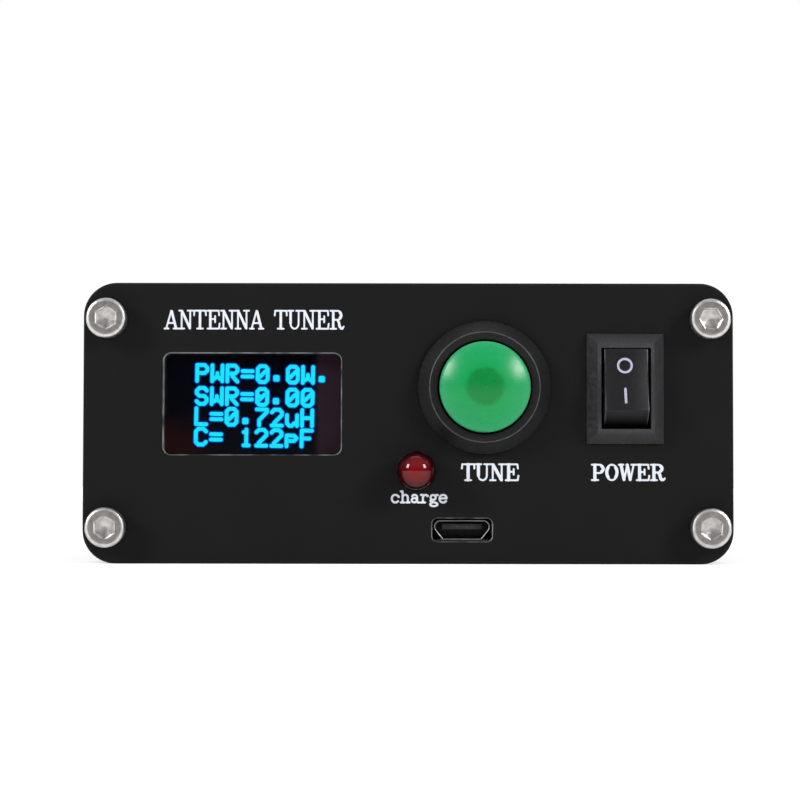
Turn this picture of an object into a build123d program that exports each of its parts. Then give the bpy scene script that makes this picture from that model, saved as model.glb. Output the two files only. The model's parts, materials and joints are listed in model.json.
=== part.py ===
"""Battery-powered automatic antenna tuner in a two-shell aluminium extrusion.

Frame: +X to the right seen from the front, +Y from the front panel to the rear, +Z up.
The origin is the centre of the underside. All sizes are in millimetres.
The front panel carries a display window, a push button, a rocker switch, a lamp and a
charging socket. The rear panel carries two coaxial sockets and an earth post.
"""

from build123d import *
from math import cos, radians, sin
import os

# ---------------------------------------------------------------- driving dimensions
case_width, case_height, corner_radius = 88.0, 38.0, 4.5
shell_length = 110.0
panel_thickness = 2.0
skin, side_wall = 1.6, 1.7          # shell thickness at top and bottom, and at the sides
mid_z = case_height / 2
front_end, rear_end = -shell_length / 2, shell_length / 2
front_face = front_end - panel_thickness
rear_face = rear_end + panel_thickness
ceiling = case_height - skin

# corner screws of both end panels
screw_pitch_x, screw_pitch_z = 81.5, 28.2
screw_radius, screw_head_radius, screw_head_height = 1.45, 2.7, 3.0
hex_key = 2.5
boss_radius, boss_bore_radius = 3.0, 1.5

# centres of the front controls: X, Z
display_at = (-21.1, 21.6)
button_at = (10.3, 23.85)
switch_at = (29.35, 23.7)
lamp_at = (1.1, 12.55)
usb_at = (7.3, 4.6)

# rear panel
socket_pitch, socket_z = 44.0, mid_z
flange_side, flange_thickness, flange_hole_pitch = 25.4, 1.6, 18.26
thread_radius, barrel_length = 7.94, 12.2

# main circuit board
board_width, board_thickness = 84.0, 1.6
board_z = 8.0
board_front, board_rear = -46.0, 51.0
board_top = board_z + board_thickness

slack = 0.05                        # radial clearance of a loose fit

# ---------------------------------------------------------------- places and helpers
corner_places = [
    (sx * screw_pitch_x / 2, mid_z + sz * screw_pitch_z / 2) for sx in (-1, 1) for sz in (-1, 1)
]
socket_places = [(-socket_pitch / 2, socket_z), (socket_pitch / 2, socket_z)]
flange_places = [
    (x + sx * flange_hole_pitch / 2, z + sz * flange_hole_pitch / 2)
    for x, z in socket_places
    for sx in (-1, 1)
    for sz in (-1, 1)
]


def facing_front(out=0.0):
    """Plane parallel to the front panel, out mm in front of it: local x is X, local y is Z."""
    return Plane(origin=(0, front_face - out, 0), x_dir=(1, 0, 0), z_dir=(0, -1, 0))


def facing_rear(out=0.0):
    """Plane parallel to the rear panel, out mm behind it: local x is -X, local y is Z."""
    return Plane(origin=(0, rear_face + out, 0), x_dir=(-1, 0, 0), z_dir=(0, 1, 0))


def front_section(place):
    """Half-section plane of a turned part on the front panel: local x is the radius, y points out."""
    return Plane(origin=(place[0], front_face, place[1]), x_dir=(1, 0, 0), z_dir=(0, 0, -1))


def rear_section(place):
    """Half-section plane of a turned part on the rear panel: local x is the radius, y points out."""
    return Plane(origin=(place[0], rear_face, place[1]), x_dir=(1, 0, 0), z_dir=(0, 0, 1))


def turning_axis(place):
    return Axis((place[0], 0, place[1]), (0, 1, 0))


def flat_at(z):
    return Plane.XY.offset(z)


def route(points, radius, bend):
    """A round wire along points, with every corner rounded to the bend radius."""
    with BuildPart() as lead:
        with BuildLine() as centre:
            FilletPolyline(*points, radius=bend)
        with BuildSketch(Plane(origin=centre.line @ 0, z_dir=centre.line % 0)):
            Circle(radius)
        sweep()
    return lead.part


def spring(base, coil_radius, wire, length, turns):
    """An open coil spring of the given overall length, rising from the base plane."""
    rise = length - 2 * wire
    with BuildPart() as coils:
        with BuildLine() as centre:
            Helix(rise / turns, rise, coil_radius, center=base.offset(wire).origin, direction=base.z_dir)
        with BuildSketch(Plane(origin=centre.line @ 0, z_dir=centre.line % 0)):
            Circle(wire)
        sweep()
    return coils.part


def group(label, solids):
    """Separate solids that share one node."""
    return Compound(label=label, children=list(solids))


finished = []


def keep(part, label):
    part.label = label
    finished.append(part)


# ---------------------------------------------------------------- case
fin_pitch, fin_width, fin_depth, fin_count = 2.4, 1.1, 0.6, 5
groove_places, groove_width, groove_depth = (29.4, 31.8, 34.2), 1.0, 0.45
tongue_width, tongue_height = 0.75, 0.85
rail_depth = 1.9


def shell(side):
    """One extruded half: side -1 is the lower half with the tongue and the board rails, 1 the upper."""
    outer_z = mid_z + side * mid_z
    boss_z = mid_z + side * screw_pitch_z / 2
    wall_x = case_width / 2 - side_wall
    with BuildPart() as half:
        with BuildSketch(facing_front(-panel_thickness)):
            with Locations((0, mid_z)):
                RectangleRounded(case_width, case_height, corner_radius)
                RectangleRounded(
                    2 * wall_x, case_height - 2 * skin, corner_radius - skin, mode=Mode.SUBTRACT
                )
            for x in (-screw_pitch_x / 2, screw_pitch_x / 2):
                with Locations((x, boss_z)):
                    Circle(boss_radius)
                    Circle(boss_bore_radius, mode=Mode.SUBTRACT)
            with Locations((0, mid_z - side * mid_z)):
                Rectangle(case_width, case_height, mode=Mode.SUBTRACT)
            for x_side in (-1, 1):
                fins = [
                    (x_side * case_width / 2, mid_z + side * fin_pitch * (i + 1))
                    for i in range(fin_count)
                ]
                with Locations(*fins):
                    Rectangle(2 * fin_depth, fin_width, mode=Mode.SUBTRACT)
                with Locations(*[(x_side * x, outer_z) for x in groove_places]):
                    Rectangle(groove_width, 2 * groove_depth, mode=Mode.SUBTRACT)
                with Locations((x_side * case_width / 2, mid_z)):
                    Rectangle(0.5, 0.5, rotation=45, mode=Mode.SUBTRACT)
                if side < 0:
                    with Locations((x_side * (wall_x + tongue_width / 2), mid_z)):
                        Rectangle(tongue_width, 2 * tongue_height)
                    for low, high in ((board_z - 1.1, board_z - 0.05), (board_top + 0.1, board_top + 1.2)):
                        with Locations((x_side * (wall_x + 0.1 - rail_depth / 2), (low + high) / 2)):
                            Rectangle(rail_depth, high - low)
                else:
                    with Locations((x_side * wall_x, mid_z)):
                        Rectangle(
                            2 * (tongue_width + slack), 2 * (tongue_height + 0.15), mode=Mode.SUBTRACT
                        )
        extrude(amount=-shell_length)
    return half.part


keep(shell(-1), "case_lower_shell")
keep(shell(1), "case_upper_shell")

window_width, window_height = 24.0, 13.7
button_hole_radius, switch_hole, lamp_hole_radius = 8.05, (8.6, 13.2), 2.6
usb_hole = (8.1, 3.1, 0.75)

with BuildPart() as front_panel:
    with BuildSketch(facing_front()):
        with Locations((0, mid_z)):
            RectangleRounded(case_width, case_height, corner_radius)
        with Locations(*corner_places):
            Circle(screw_radius + 0.2, mode=Mode.SUBTRACT)
        with Locations(display_at):
            RectangleRounded(window_width, window_height, 1.0, mode=Mode.SUBTRACT)
        with Locations(button_at):
            Circle(button_hole_radius, mode=Mode.SUBTRACT)
        with Locations(switch_at):
            Rectangle(*switch_hole, mode=Mode.SUBTRACT)
        with Locations(lamp_at):
            Circle(lamp_hole_radius, mode=Mode.SUBTRACT)
        with Locations(usb_at):
            RectangleRounded(*usb_hole, mode=Mode.SUBTRACT)
    extrude(amount=-panel_thickness)
    outside = front_panel.faces().sort_by(Axis.Y)[0]
    chamfer(outside.outer_wire().edges(), length=0.3)
    for hole in front_panel.faces().sort_by(Axis.Y)[0].inner_wires():
        chamfer(hole.edges(), length=0.12)
keep(front_panel.part, "front_panel")

socket_hole_radius, stud_hole_radius = 6.5, 2.15
with BuildPart() as rear_panel:
    with BuildSketch(facing_rear()):
        with Locations((0, mid_z)):
            RectangleRounded(case_width, case_height, corner_radius)
        with Locations(*corner_places):
            Circle(screw_radius + 0.2, mode=Mode.SUBTRACT)
        with Locations(*flange_places):
            Circle(screw_radius + 0.15, mode=Mode.SUBTRACT)
        with Locations(*socket_places):
            Circle(socket_hole_radius, mode=Mode.SUBTRACT)
        with Locations((0, mid_z)):
            Circle(stud_hole_radius, mode=Mode.SUBTRACT)
    extrude(amount=-panel_thickness)
    chamfer(rear_panel.faces().sort_by(Axis.Y)[-1].outer_wire().edges(), length=0.3)
keep(rear_panel.part, "rear_panel")


def cap_screws(plane_at, turns):
    """Socket head screws through one end panel, each with its own turn of the hexagon."""
    with BuildPart() as screws:
        with BuildSketch(plane_at(0)):
            with Locations(*corner_places):
                Circle(screw_head_radius)
        extrude(amount=screw_head_height)
        rims = screws.edges().filter_by(GeomType.CIRCLE).group_by(Axis.Y)
        outer_rims = rims[0] if plane_at is facing_front else rims[-1]
        fillet(outer_rims, radius=0.4)
        with BuildSketch(plane_at(screw_head_height)):
            for place, turn in zip(corner_places, turns):
                with Locations(place):
                    RegularPolygon(hex_key / 2, 6, major_radius=False, rotation=turn)
        extrude(amount=-1.6, mode=Mode.SUBTRACT)
        with BuildSketch(plane_at(0)):
            with Locations(*corner_places):
                Circle(screw_radius)
        extrude(amount=-10.0)
    return screws.part


keep(cap_screws(facing_front, (22, 30, 40, 0)), "front_panel_screws")
keep(cap_screws(facing_rear, (10, 52, 25, 38)), "rear_panel_screws")

# ---------------------------------------------------------------- display
glass_width, glass_height, glass_thickness = 26.7, 19.26, 1.45
glass_drop = 2.1                    # the lit area sits above the centre of the glass
module_side, module_thickness = 27.3, 1.2
gasket_thickness = 0.5
glass_front = -panel_thickness - gasket_thickness
module_front = glass_front - glass_thickness
module_back = module_front - module_thickness
glass_at = (display_at[0], display_at[1] - glass_drop)
module_at = (display_at[0], mid_z + 0.9)
header_places = [(module_at[0] + (i - 1.5) * 2.54, module_at[1] + 12.1) for i in range(4)]

with BuildPart() as display_gasket:
    with BuildSketch(facing_front(-panel_thickness)):
        with Locations(glass_at):
            Rectangle(glass_width, glass_height)
        with Locations(display_at):
            Rectangle(window_width + 0.6, window_height + 0.6, mode=Mode.SUBTRACT)
    extrude(amount=-gasket_thickness)
keep(display_gasket.part, "display_gasket")

with BuildPart() as display_glass:
    with BuildSketch(facing_front(glass_front)):
        with Locations(glass_at):
            Rectangle(glass_width, glass_height)
    extrude(amount=-glass_thickness)
    chamfer(display_glass.faces().sort_by(Axis.Y)[0].edges(), length=0.15)
keep(display_glass.part, "display_glass")

with BuildPart() as display_board:
    with BuildSketch(facing_front(module_front)):
        with Locations(module_at):
            RectangleRounded(module_side, module_side + 0.5, 1.2)
            with GridLocations(23.5, 23.8, 2, 2):
                Circle(1.1, mode=Mode.SUBTRACT)
        with Locations(*header_places):
            Circle(0.5, mode=Mode.SUBTRACT)
    extrude(amount=-module_thickness)
keep(display_board.part, "display_board")

with BuildPart() as display_header:
    with BuildSketch(facing_front(module_back)):
        with Locations((module_at[0], header_places[0][1])):
            Rectangle(4 * 2.54, 2.4)
    extrude(amount=-2.5)
    with BuildSketch(facing_front(module_back - 2.5)):
        with Locations(*header_places):
            Rectangle(0.64, 0.64)
    extrude(amount=-2.0)
keep(display_header.part, "display_header")

# ---------------------------------------------------------------- push button
button_travel = 2.0
bezel_radius, bezel_lip_radius, bezel_height = 9.0, 7.55, 2.6
cap_radius, cap_edge, dome_radius = 6.25, 3.8, 11.6
well_radius, well_floor = 6.45, -2.6
stem_radius = 1.55
chamber_radius, chamber_top, button_depth = 5.6, -5.0, -22.0
bridge_out = -11.5
knurl_count = 52

with BuildPart() as tune_button_housing:
    with BuildSketch(front_section(button_at)):
        Polygon(
            (well_radius, bezel_height),
            (bezel_lip_radius, bezel_height),
            (bezel_radius, 0.9),
            (bezel_radius, 0),
            (button_hole_radius - 0.15, 0),
            (button_hole_radius - 0.15, -15.0),
            (7.0, -15.0),
            (7.0, button_depth),
            (chamber_radius, button_depth),
            (chamber_radius, chamber_top),
            (stem_radius + 0.07, chamber_top),
            (stem_radius + 0.07, well_floor),
            (well_radius, well_floor),
            align=None,
        )
    revolve(axis=turning_axis(button_at))
    with BuildSketch(facing_front()):
        with Locations(button_at):
            with PolarLocations(bezel_radius + 0.08, knurl_count):
                Rectangle(0.5, 0.5, rotation=45)
    extrude(amount=1.3, mode=Mode.SUBTRACT)
keep(tune_button_housing.part, "tune_button_housing")

dome_rise = dome_radius - (dome_radius**2 - (cap_radius - 0.15) ** 2) ** 0.5
with BuildPart() as tune_button_cap:
    with BuildSketch(front_section(button_at)):
        with BuildLine():
            top = (0, cap_edge + dome_rise)
            shoulder = (cap_radius - 0.15, cap_edge)
            RadiusArc(top, shoulder, dome_radius)
            Polyline(
                shoulder,
                (cap_radius, cap_edge - 0.2),
                (cap_radius, 0.8),
                (5.3, 0.8),
                (5.3, 2.9),
                (2.7, 2.9),
                (2.7, 0.8),
                (stem_radius + 0.02, 0.8),
                (stem_radius + 0.02, 2.9),
                (0, 2.9),
                top,
            )
        make_face()
    revolve(axis=turning_axis(button_at))
keep(tune_button_cap.part, "tune_button_cap")

with BuildPart() as tune_button_stem:
    with BuildSketch(front_section(button_at)):
        Polygon(
            (0, 2.85),
            (stem_radius, 2.85),
            (stem_radius, chamber_top - 0.4),
            (2.2, chamber_top - 0.4),
            (2.2, bridge_out),
            (1.2, bridge_out),
            (1.2, bridge_out - 1.4),
            (0, bridge_out - 1.4),
            align=None,
        )
    revolve(axis=turning_axis(button_at))
keep(tune_button_stem.part, "tune_button_stem")

spring_base = Plane(origin=(button_at[0], front_face - well_floor, button_at[1]), z_dir=(0, -1, 0))
keep(spring(spring_base, 2.1, 0.2, 0.8 - well_floor, 3), "tune_button_spring")

with BuildPart() as tune_button_bridge:
    with BuildSketch(facing_front(bridge_out)):
        with Locations(button_at):
            Circle(4.2)
            Circle(1.2 + 0.02, mode=Mode.SUBTRACT)
    extrude(amount=-0.5)
keep(tune_button_bridge.part, "tune_button_bridge")

terminal_spread, terminal_width, terminal_thickness = 3.0, 2.4, 0.5
button_terminal_places = [
    (button_at[0] - terminal_spread, button_at[1]),
    (button_at[0] + terminal_spread, button_at[1]),
]
button_terminal_end = -29.0
with BuildPart() as tune_button_base:
    with BuildSketch(facing_front(button_depth + 1.8)):
        with Locations(button_at):
            Circle(chamber_radius - slack)
        with Locations(*button_terminal_places):
            Rectangle(terminal_thickness + 0.1, terminal_width + 0.1, mode=Mode.SUBTRACT)
    extrude(amount=-1.8)
keep(tune_button_base.part, "tune_button_base")

with BuildPart() as tune_button_terminals:
    with BuildSketch(facing_front(bridge_out - 0.5 - button_travel - 0.1)):
        with Locations(*button_terminal_places):
            Rectangle(terminal_thickness, terminal_width)
    extrude(amount=button_terminal_end - (bridge_out - 0.5 - button_travel - 0.1))
    with BuildSketch(Plane.YZ.offset(button_at[0] - 10)):
        with Locations((front_face - button_terminal_end - 1.6, button_at[1])):
            Circle(0.6)
    extrude(amount=20, mode=Mode.SUBTRACT)
keep(tune_button_terminals.part, "tune_button_terminals")

with BuildPart() as tune_button_nut:
    with BuildSketch(facing_front(-panel_thickness)):
        with Locations(button_at):
            RegularPolygon(19.0 / 2, 6, major_radius=False)
            Circle(button_hole_radius - 0.1, mode=Mode.SUBTRACT)
    extrude(amount=-3.5)
keep(tune_button_nut.part, "tune_button_nut")

# ---------------------------------------------------------------- rocker switch
rocker_rest, rocker_width = 15.0, 5.95      # tilt of the stored pose, with the upper end pressed in
pivot_out = -1.2
face_half, face_out = 4.343, 4.5            # end of the finger face, from the pivot
end_radius = 5.36
opening_width, opening_height = 6.7, 10.95
body_width, body_height, body_depth, cavity_depth = 8.4, 13.0, -10.4, -9.0
bezel_width, bezel_tall, switch_bezel_height = 10.4, 14.9, 2.0
trunnion_radius = 1.0
blade_out, blade_tilt = -7.2, 6.0


def switch_side(out, tilt=0.0, x=switch_at[0]):
    """Plane across the switch at a pivot: local x runs up the switch, local y points out of the panel."""
    return Plane(
        origin=(x, front_face - out, switch_at[1]),
        x_dir=(0, sin(radians(tilt)), cos(radians(tilt))),
        z_dir=(1, 0, 0),
    )


common_up, contact_up = 0.0, 3.8
switch_terminal_places = [(switch_at[0], switch_at[1] + up) for up in (common_up, contact_up)]
switch_terminal_end = -17.5

with BuildPart() as power_switch_housing:
    with BuildSketch(facing_front()):
        with Locations(switch_at):
            Rectangle(bezel_width, bezel_tall)
    extrude(amount=0.3)
    with BuildSketch(facing_front(0.3)):
        with Locations(switch_at):
            Rectangle(bezel_width, bezel_tall)
    extrude(amount=switch_bezel_height - 0.3, taper=38.5)
    with BuildSketch(facing_front()):
        with Locations(switch_at):
            Rectangle(body_width, body_height)
    extrude(amount=body_depth)
    with BuildSketch(switch_side(0)):
        Polygon((6.4, -2.15), (7.0, -2.15), (6.4, -5.2), align=None)
        Polygon((-6.4, -2.15), (-7.0, -2.15), (-6.4, -5.2), align=None)
    extrude(amount=2.0, both=True)
    with BuildSketch(facing_front(switch_bezel_height)):
        with Locations(switch_at):
            Rectangle(opening_width, opening_height)
    extrude(amount=cavity_depth - switch_bezel_height, mode=Mode.SUBTRACT)
    with BuildSketch(switch_side(pivot_out)):
        Circle(trunnion_radius + 0.06)
    extrude(amount=body_width, both=True, mode=Mode.SUBTRACT)
    with BuildSketch(facing_front(cavity_depth)):
        with Locations(*switch_terminal_places):
            Rectangle(3.1, 0.7)
    extrude(amount=-3, mode=Mode.SUBTRACT)
keep(power_switch_housing.part, "power_switch_housing")

end_knee = (face_half + (face_out - 1.4) * sin(radians(15)) / cos(radians(15)), 1.4)
end_foot = (end_radius * cos(radians(8)), -end_radius * sin(radians(8)))
plunger_radius, plunger_room = 0.95, 1.02
rocker_plane = switch_side(pivot_out, rocker_rest)
with BuildPart() as power_switch_rocker:
    with BuildSketch(rocker_plane):
        with BuildLine():
            face = ThreePointArc((-face_half, face_out), (0, face_out - 0.35), (face_half, face_out))
            Line(face @ 1, end_knee)
            RadiusArc(end_knee, end_foot, end_radius)
            Polyline(
                end_foot,
                (3.6, -1.8),
                (1.7, -1.8),
                (1.7, -3.6),
                (-1.7, -3.6),
                (-1.7, -1.8),
                (-3.6, -1.8),
                (-end_foot[0], end_foot[1]),
            )
            RadiusArc((-end_foot[0], end_foot[1]), (-end_knee[0], end_knee[1]), end_radius)
            Line((-end_knee[0], end_knee[1]), face @ 0)
        make_face()
    extrude(amount=rocker_width / 2, both=True)
    fillet(power_switch_rocker.faces().sort_by(Axis.Y)[0].edges(), radius=0.2)
    with BuildSketch(rocker_plane):
        Circle(trunnion_radius)
    extrude(amount=body_width / 2 - 0.25, both=True)
    socket_start = rocker_plane.from_local_coords(Vector(0, -3.6, 0))
    with BuildSketch(Plane(origin=socket_start, z_dir=rocker_plane.y_dir)):
        Circle(plunger_room)
    extrude(amount=3.9, mode=Mode.SUBTRACT)
keep(power_switch_rocker.part, "power_switch_rocker")

with BuildPart() as power_switch_plunger:
    with BuildSketch(rocker_plane):
        with BuildLine():
            Polyline((0, -2.2), (plunger_radius, -2.2), (plunger_radius, -4.7))
            RadiusArc((0, -4.7 - plunger_radius), (plunger_radius, -4.7), plunger_radius)
            Line((0, -4.7 - plunger_radius), (0, -2.2))
        make_face()
    revolve(axis=Axis(rocker_plane.origin, rocker_plane.y_dir))
keep(power_switch_plunger.part, "power_switch_plunger")

plunger_base = Plane(origin=rocker_plane.from_local_coords(Vector(0, -2.2, 0)), z_dir=rocker_plane.y_dir)
keep(spring(plunger_base, 0.75, 0.12, 2.2, 4), "power_switch_spring")

with BuildPart() as power_switch_blade:
    with BuildSketch(switch_side(blade_out, -blade_tilt)):
        Rectangle(8.4, 0.4)
        Circle(0.3)
    extrude(amount=1.3, both=True)
keep(power_switch_blade.part, "power_switch_blade")

with BuildPart() as power_switch_terminals:
    for (x, z), top in zip(switch_terminal_places, (blade_out - 0.37, blade_out - 0.75)):
        with BuildSketch(facing_front(top)):
            with Locations((x, z)):
                Rectangle(3.0, 0.6)
        extrude(amount=switch_terminal_end - top)
    with BuildSketch(flat_at(switch_at[1] - 2)):
        with Locations((switch_at[0], front_face - switch_terminal_end - 2.2)):
            Circle(0.7)
    extrude(amount=8, mode=Mode.SUBTRACT)
keep(power_switch_terminals.part, "power_switch_terminals")

# ---------------------------------------------------------------- charging lamp and socket
lens_radius, lens_flange, lens_tip = 2.5, 2.9, 5.6
lens_back = -panel_thickness - 1.0
with BuildPart() as charge_lamp_lens:
    with BuildSketch(front_section(lamp_at)):
        with BuildLine():
            Polyline(
                (0, lens_tip),
                (0, lens_back),
                (lens_flange, lens_back),
                (lens_flange, -panel_thickness),
                (lens_radius, -panel_thickness),
                (lens_radius, lens_tip - lens_radius),
            )
            RadiusArc((0, lens_tip), (lens_radius, lens_tip - lens_radius), lens_radius)
        make_face()
    revolve(axis=turning_axis(lamp_at))
keep(charge_lamp_lens.part, "charge_lamp_lens")

lamp_leads = []
for lead_x in (lamp_at[0] - 1.27, lamp_at[0] + 1.27):
    lamp_leads.append(
        route(
            [
                (lead_x, front_face - lens_back, lamp_at[1]),
                (lead_x, board_front + 2, lamp_at[1]),
                (lead_x, board_front + 2, board_top),
            ],
            0.25,
            0.8,
        )
    )
keep(group("charge_lamp_leads", lamp_leads), "charge_lamp_leads")

usb_mouth, usb_depth = -1.1, 5.6
usb_section = [
    (-3.1, 1.33),
    (-3.6, 1.05),
    (-3.8, 0.55),
    (-3.8, 0.15),
    (-2.67, -1.34),
    (2.67, -1.34),
    (3.8, 0.15),
    (3.8, 0.55),
    (3.6, 1.05),
    (3.1, 1.33),
]
usb_inside = [
    (-3.05, 1.13),
    (-3.42, 0.92),
    (-3.6, 0.5),
    (-3.6, 0.22),
    (-2.58, -1.14),
    (2.58, -1.14),
    (3.6, 0.22),
    (3.6, 0.5),
    (3.42, 0.92),
    (3.05, 1.13),
]
with BuildPart() as usb_socket_shell:
    with BuildSketch(facing_front(usb_mouth)):
        with Locations(usb_at):
            Polygon(*usb_section, align=None)
            Polygon(*usb_inside, align=None, mode=Mode.SUBTRACT)
    extrude(amount=-usb_depth)
keep(usb_socket_shell.part, "usb_socket_shell")

with BuildPart() as usb_socket_tongue:
    with BuildSketch(facing_front(usb_mouth - usb_depth + 1.6)):
        with Locations(usb_at):
            Polygon(*[(0.98 * x, 0.98 * z) for x, z in usb_inside], align=None)
    extrude(amount=-1.6)
    with BuildSketch(facing_front(usb_mouth - 0.7)):
        with Locations((usb_at[0], usb_at[1] + 0.45)):
            Rectangle(5.4, 0.7)
    extrude(amount=-(usb_depth - 2.0))
keep(usb_socket_tongue.part, "usb_socket_tongue")

charger_width, charger_length, charger_thickness = 24.0, 30.0, 1.2
charger_z = usb_at[1] - 1.34 - charger_thickness
charger_at = (usb_at[0], front_end + 0.4 + charger_length / 2)
charger_top = charger_z + charger_thickness
with BuildPart() as charger_board:
    with BuildSketch(flat_at(charger_z)):
        with Locations(charger_at):
            Rectangle(charger_width, charger_length)
            with GridLocations(charger_width - 4, charger_length - 4, 2, 2):
                Circle(1.0, mode=Mode.SUBTRACT)
    extrude(amount=charger_thickness)
keep(charger_board.part, "charger_board")

with BuildPart() as charger_pad:
    with BuildSketch(flat_at(skin)):
        with Locations(charger_at):
            Rectangle(charger_width - 8, charger_length - 4)
    extrude(amount=charger_z - skin)
keep(charger_pad.part, "charger_pad")

# offset from the board centre, footprint and height of each component
charger_items = [
    (-4.5, 3.0, 6.0, 6.0, 3.0),
    (5.0, 2.0, 4.9, 3.9, 1.5),
    (5.0, -6.0, 4.9, 3.9, 1.5),
    (-5.0, -5.0, 3.2, 2.5, 1.4),
    (-9.0, 3.0, 1.6, 3.2, 1.2),
    (9.5, 4.0, 2.0, 1.2, 0.9),
    (9.5, 0.5, 2.0, 1.2, 0.9),
    (0.5, 4.5, 2.0, 1.2, 0.9),
    (0.0, 11.5, 7.5, 2.5, 2.6),
]
with BuildPart() as charger_parts:
    for dx, dy, size_x, size_y, size_z in charger_items:
        with BuildSketch(flat_at(charger_top)):
            with Locations((charger_at[0] + dx, charger_at[1] + dy)):
                Rectangle(size_x, size_y)
        extrude(amount=size_z)
keep(charger_parts.part, "charger_parts")

# ---------------------------------------------------------------- battery
battery_width, battery_length, battery_thickness = 60.0, 50.0, 9.0
tape_thickness = 0.8
battery_at = (0.0, 2.5)
battery_z = ceiling - tape_thickness - battery_thickness
with BuildPart() as battery_pack:
    with BuildSketch(flat_at(battery_z)):
        with Locations(battery_at):
            RectangleRounded(battery_width, battery_length, 2.0)
    extrude(amount=battery_thickness)
    fillet(battery_pack.edges().group_by(Axis.Z)[-1], radius=1.5)
    fillet(battery_pack.edges().group_by(Axis.Z)[0], radius=1.5)
keep(battery_pack.part, "battery_pack")

with BuildPart() as battery_tape:
    with BuildSketch(flat_at(ceiling - tape_thickness)):
        with Locations(battery_at):
            with GridLocations(0, 30, 1, 2):
                Rectangle(battery_width - 14, 12)
    extrude(amount=tape_thickness)
keep(battery_tape.part, "battery_tape")

# ---------------------------------------------------------------- main board and its components
with BuildPart() as main_board:
    with BuildSketch(flat_at(board_z)):
        with Locations((0, (board_front + board_rear) / 2)):
            Rectangle(board_width, board_rear - board_front)
            with GridLocations(72.0, 90.0, 2, 2):
                Circle(1.6, mode=Mode.SUBTRACT)
    extrude(amount=board_thickness)
keep(main_board.part, "main_board")

relay_width, relay_length, relay_height, relay_pitch = 10.5, 15.5, 11.8, 11.5
relay_rows = (-14.0, 19.0)
relay_places = [((i - 3) * relay_pitch, y) for y in relay_rows for i in range(7)]
relay_places.append((3 * relay_pitch, sum(relay_rows) / 2))
with BuildPart() as relays:
    with BuildSketch(flat_at(board_top)):
        with Locations(*relay_places):
            Rectangle(relay_width, relay_length)
    extrude(amount=relay_height)
    chamfer(relays.edges().group_by(Axis.Z)[-1], length=0.4)
keep(relays.part, "relays")


def upright(x, y, z, along=0.0):
    """Planes of one standing ring: its axis runs along Y, or along X when turned by 90 degrees."""
    return Plane(origin=(x, y, z), x_dir=(cos(radians(along)), sin(radians(along)), 0),
                 z_dir=(sin(radians(along)), -cos(radians(along)), 0))


def ring_core(face, outer, inner, width):
    with BuildPart() as core:
        with BuildSketch(face):
            Circle(outer)
            Circle(inner, mode=Mode.SUBTRACT)
        extrude(amount=width / 2, both=True)
        chamfer(core.edges(), length=0.5)
    return core.part


def ring_winding(face, outer, inner, width, wire, turns, gap):
    """Turns of wire around a ring, with a gap in degrees left open at the bottom, and two tails."""
    mean, depth = (outer + inner) / 2, (outer - inner) / 2
    planes = []
    for i in range(turns):
        angle = radians(-90 + gap / 2 + (360 - gap) * i / (turns - 1))
        out = face.x_dir * cos(angle) + face.y_dir * sin(angle)
        planes.append(Plane(origin=face.origin + out * mean, x_dir=out, z_dir=out.cross(face.z_dir)))
    with BuildPart() as loops:
        with BuildSketch(*planes):
            Rectangle(2 * depth + 2 * wire, width + 2 * wire)
            Rectangle(2 * depth + 0.04, width + 0.04, mode=Mode.SUBTRACT)
        extrude(amount=wire / 2, both=True)
        foot, start = face.origin.Z - board_top, outer * cos(radians(gap / 2))
        for side in (-1, 1):
            with BuildSketch(face.offset(side * (width / 2 + wire / 2 + 0.02))):
                with Locations((side * outer * sin(radians(gap / 2)), -(foot + start) / 2)):
                    Rectangle(wire, foot - start)
            extrude(amount=wire / 2, both=True)
    return loops.part


big_ring, small_ring, coupler_ring = (8.75, 4.7, 4.8), (6.35, 3.85, 4.8), (4.75, 2.35, 3.2)
ring_places = [(x, 36.0, big_ring, 0.8, 12, 0.0) for x in (-24.0, -3.0, 18.0)]
ring_places += [(x, 2.5, small_ring, 0.6, 10, 0.0) for x in (-33.0, -18.0)]
coupler_places = [(x, 45.5, coupler_ring, 0.4, 10, 90.0) for x in (-9.5, 9.5)]


def standing(x, y, ring, wire, turns, along):
    return upright(x, y, board_top + ring[0] + wire, along)


cores = [ring_core(standing(*place), *place[2]) for place in ring_places]
windings = [ring_winding(standing(*place), *place[2], place[3], place[4], 70) for place in ring_places]
coupler_cores = [ring_core(standing(*place), *place[2]) for place in coupler_places]
coupler_loops = [
    ring_winding(standing(*place), *place[2], place[3], place[4], 70) for place in coupler_places
]
keep(group("toroid_cores", cores + coupler_cores), "toroid_cores")
keep(group("toroid_windings", windings + coupler_loops), "toroid_windings")

air_coil_at, air_coil_radius, air_coil_length = (34.0, 29.5), 4.6, 13.0
coil_base = Plane(origin=(air_coil_at[0], air_coil_at[1], board_top + air_coil_radius + 1.0), z_dir=(0, 1, 0))
keep(spring(coil_base, air_coil_radius, 0.5, air_coil_length, 8), "air_coil")

disc_radius, disc_thickness = 3.6, 2.2
disc_places = [(-7.0 + 5 * i, 2.5) for i in range(7)]
with BuildPart() as tuning_capacitors:
    for x, y in disc_places:
        disc_middle = (x, y, board_top + 2.0 + disc_radius)
        with BuildSketch(Plane(origin=disc_middle, x_dir=(0, 1, 0), z_dir=(1, 0, 0))):
            Circle(disc_radius)
        extrude(amount=disc_thickness / 2, both=True)
    chamfer(tuning_capacitors.edges().filter_by(GeomType.CIRCLE), length=0.5)
    with BuildSketch(flat_at(board_top)):
        with Locations(*[(x, y + side * 2.5) for x, y in disc_places for side in (-1, 1)]):
            Circle(0.3)
    extrude(amount=3.9)
keep(tuning_capacitors.part, "tuning_capacitors")


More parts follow.
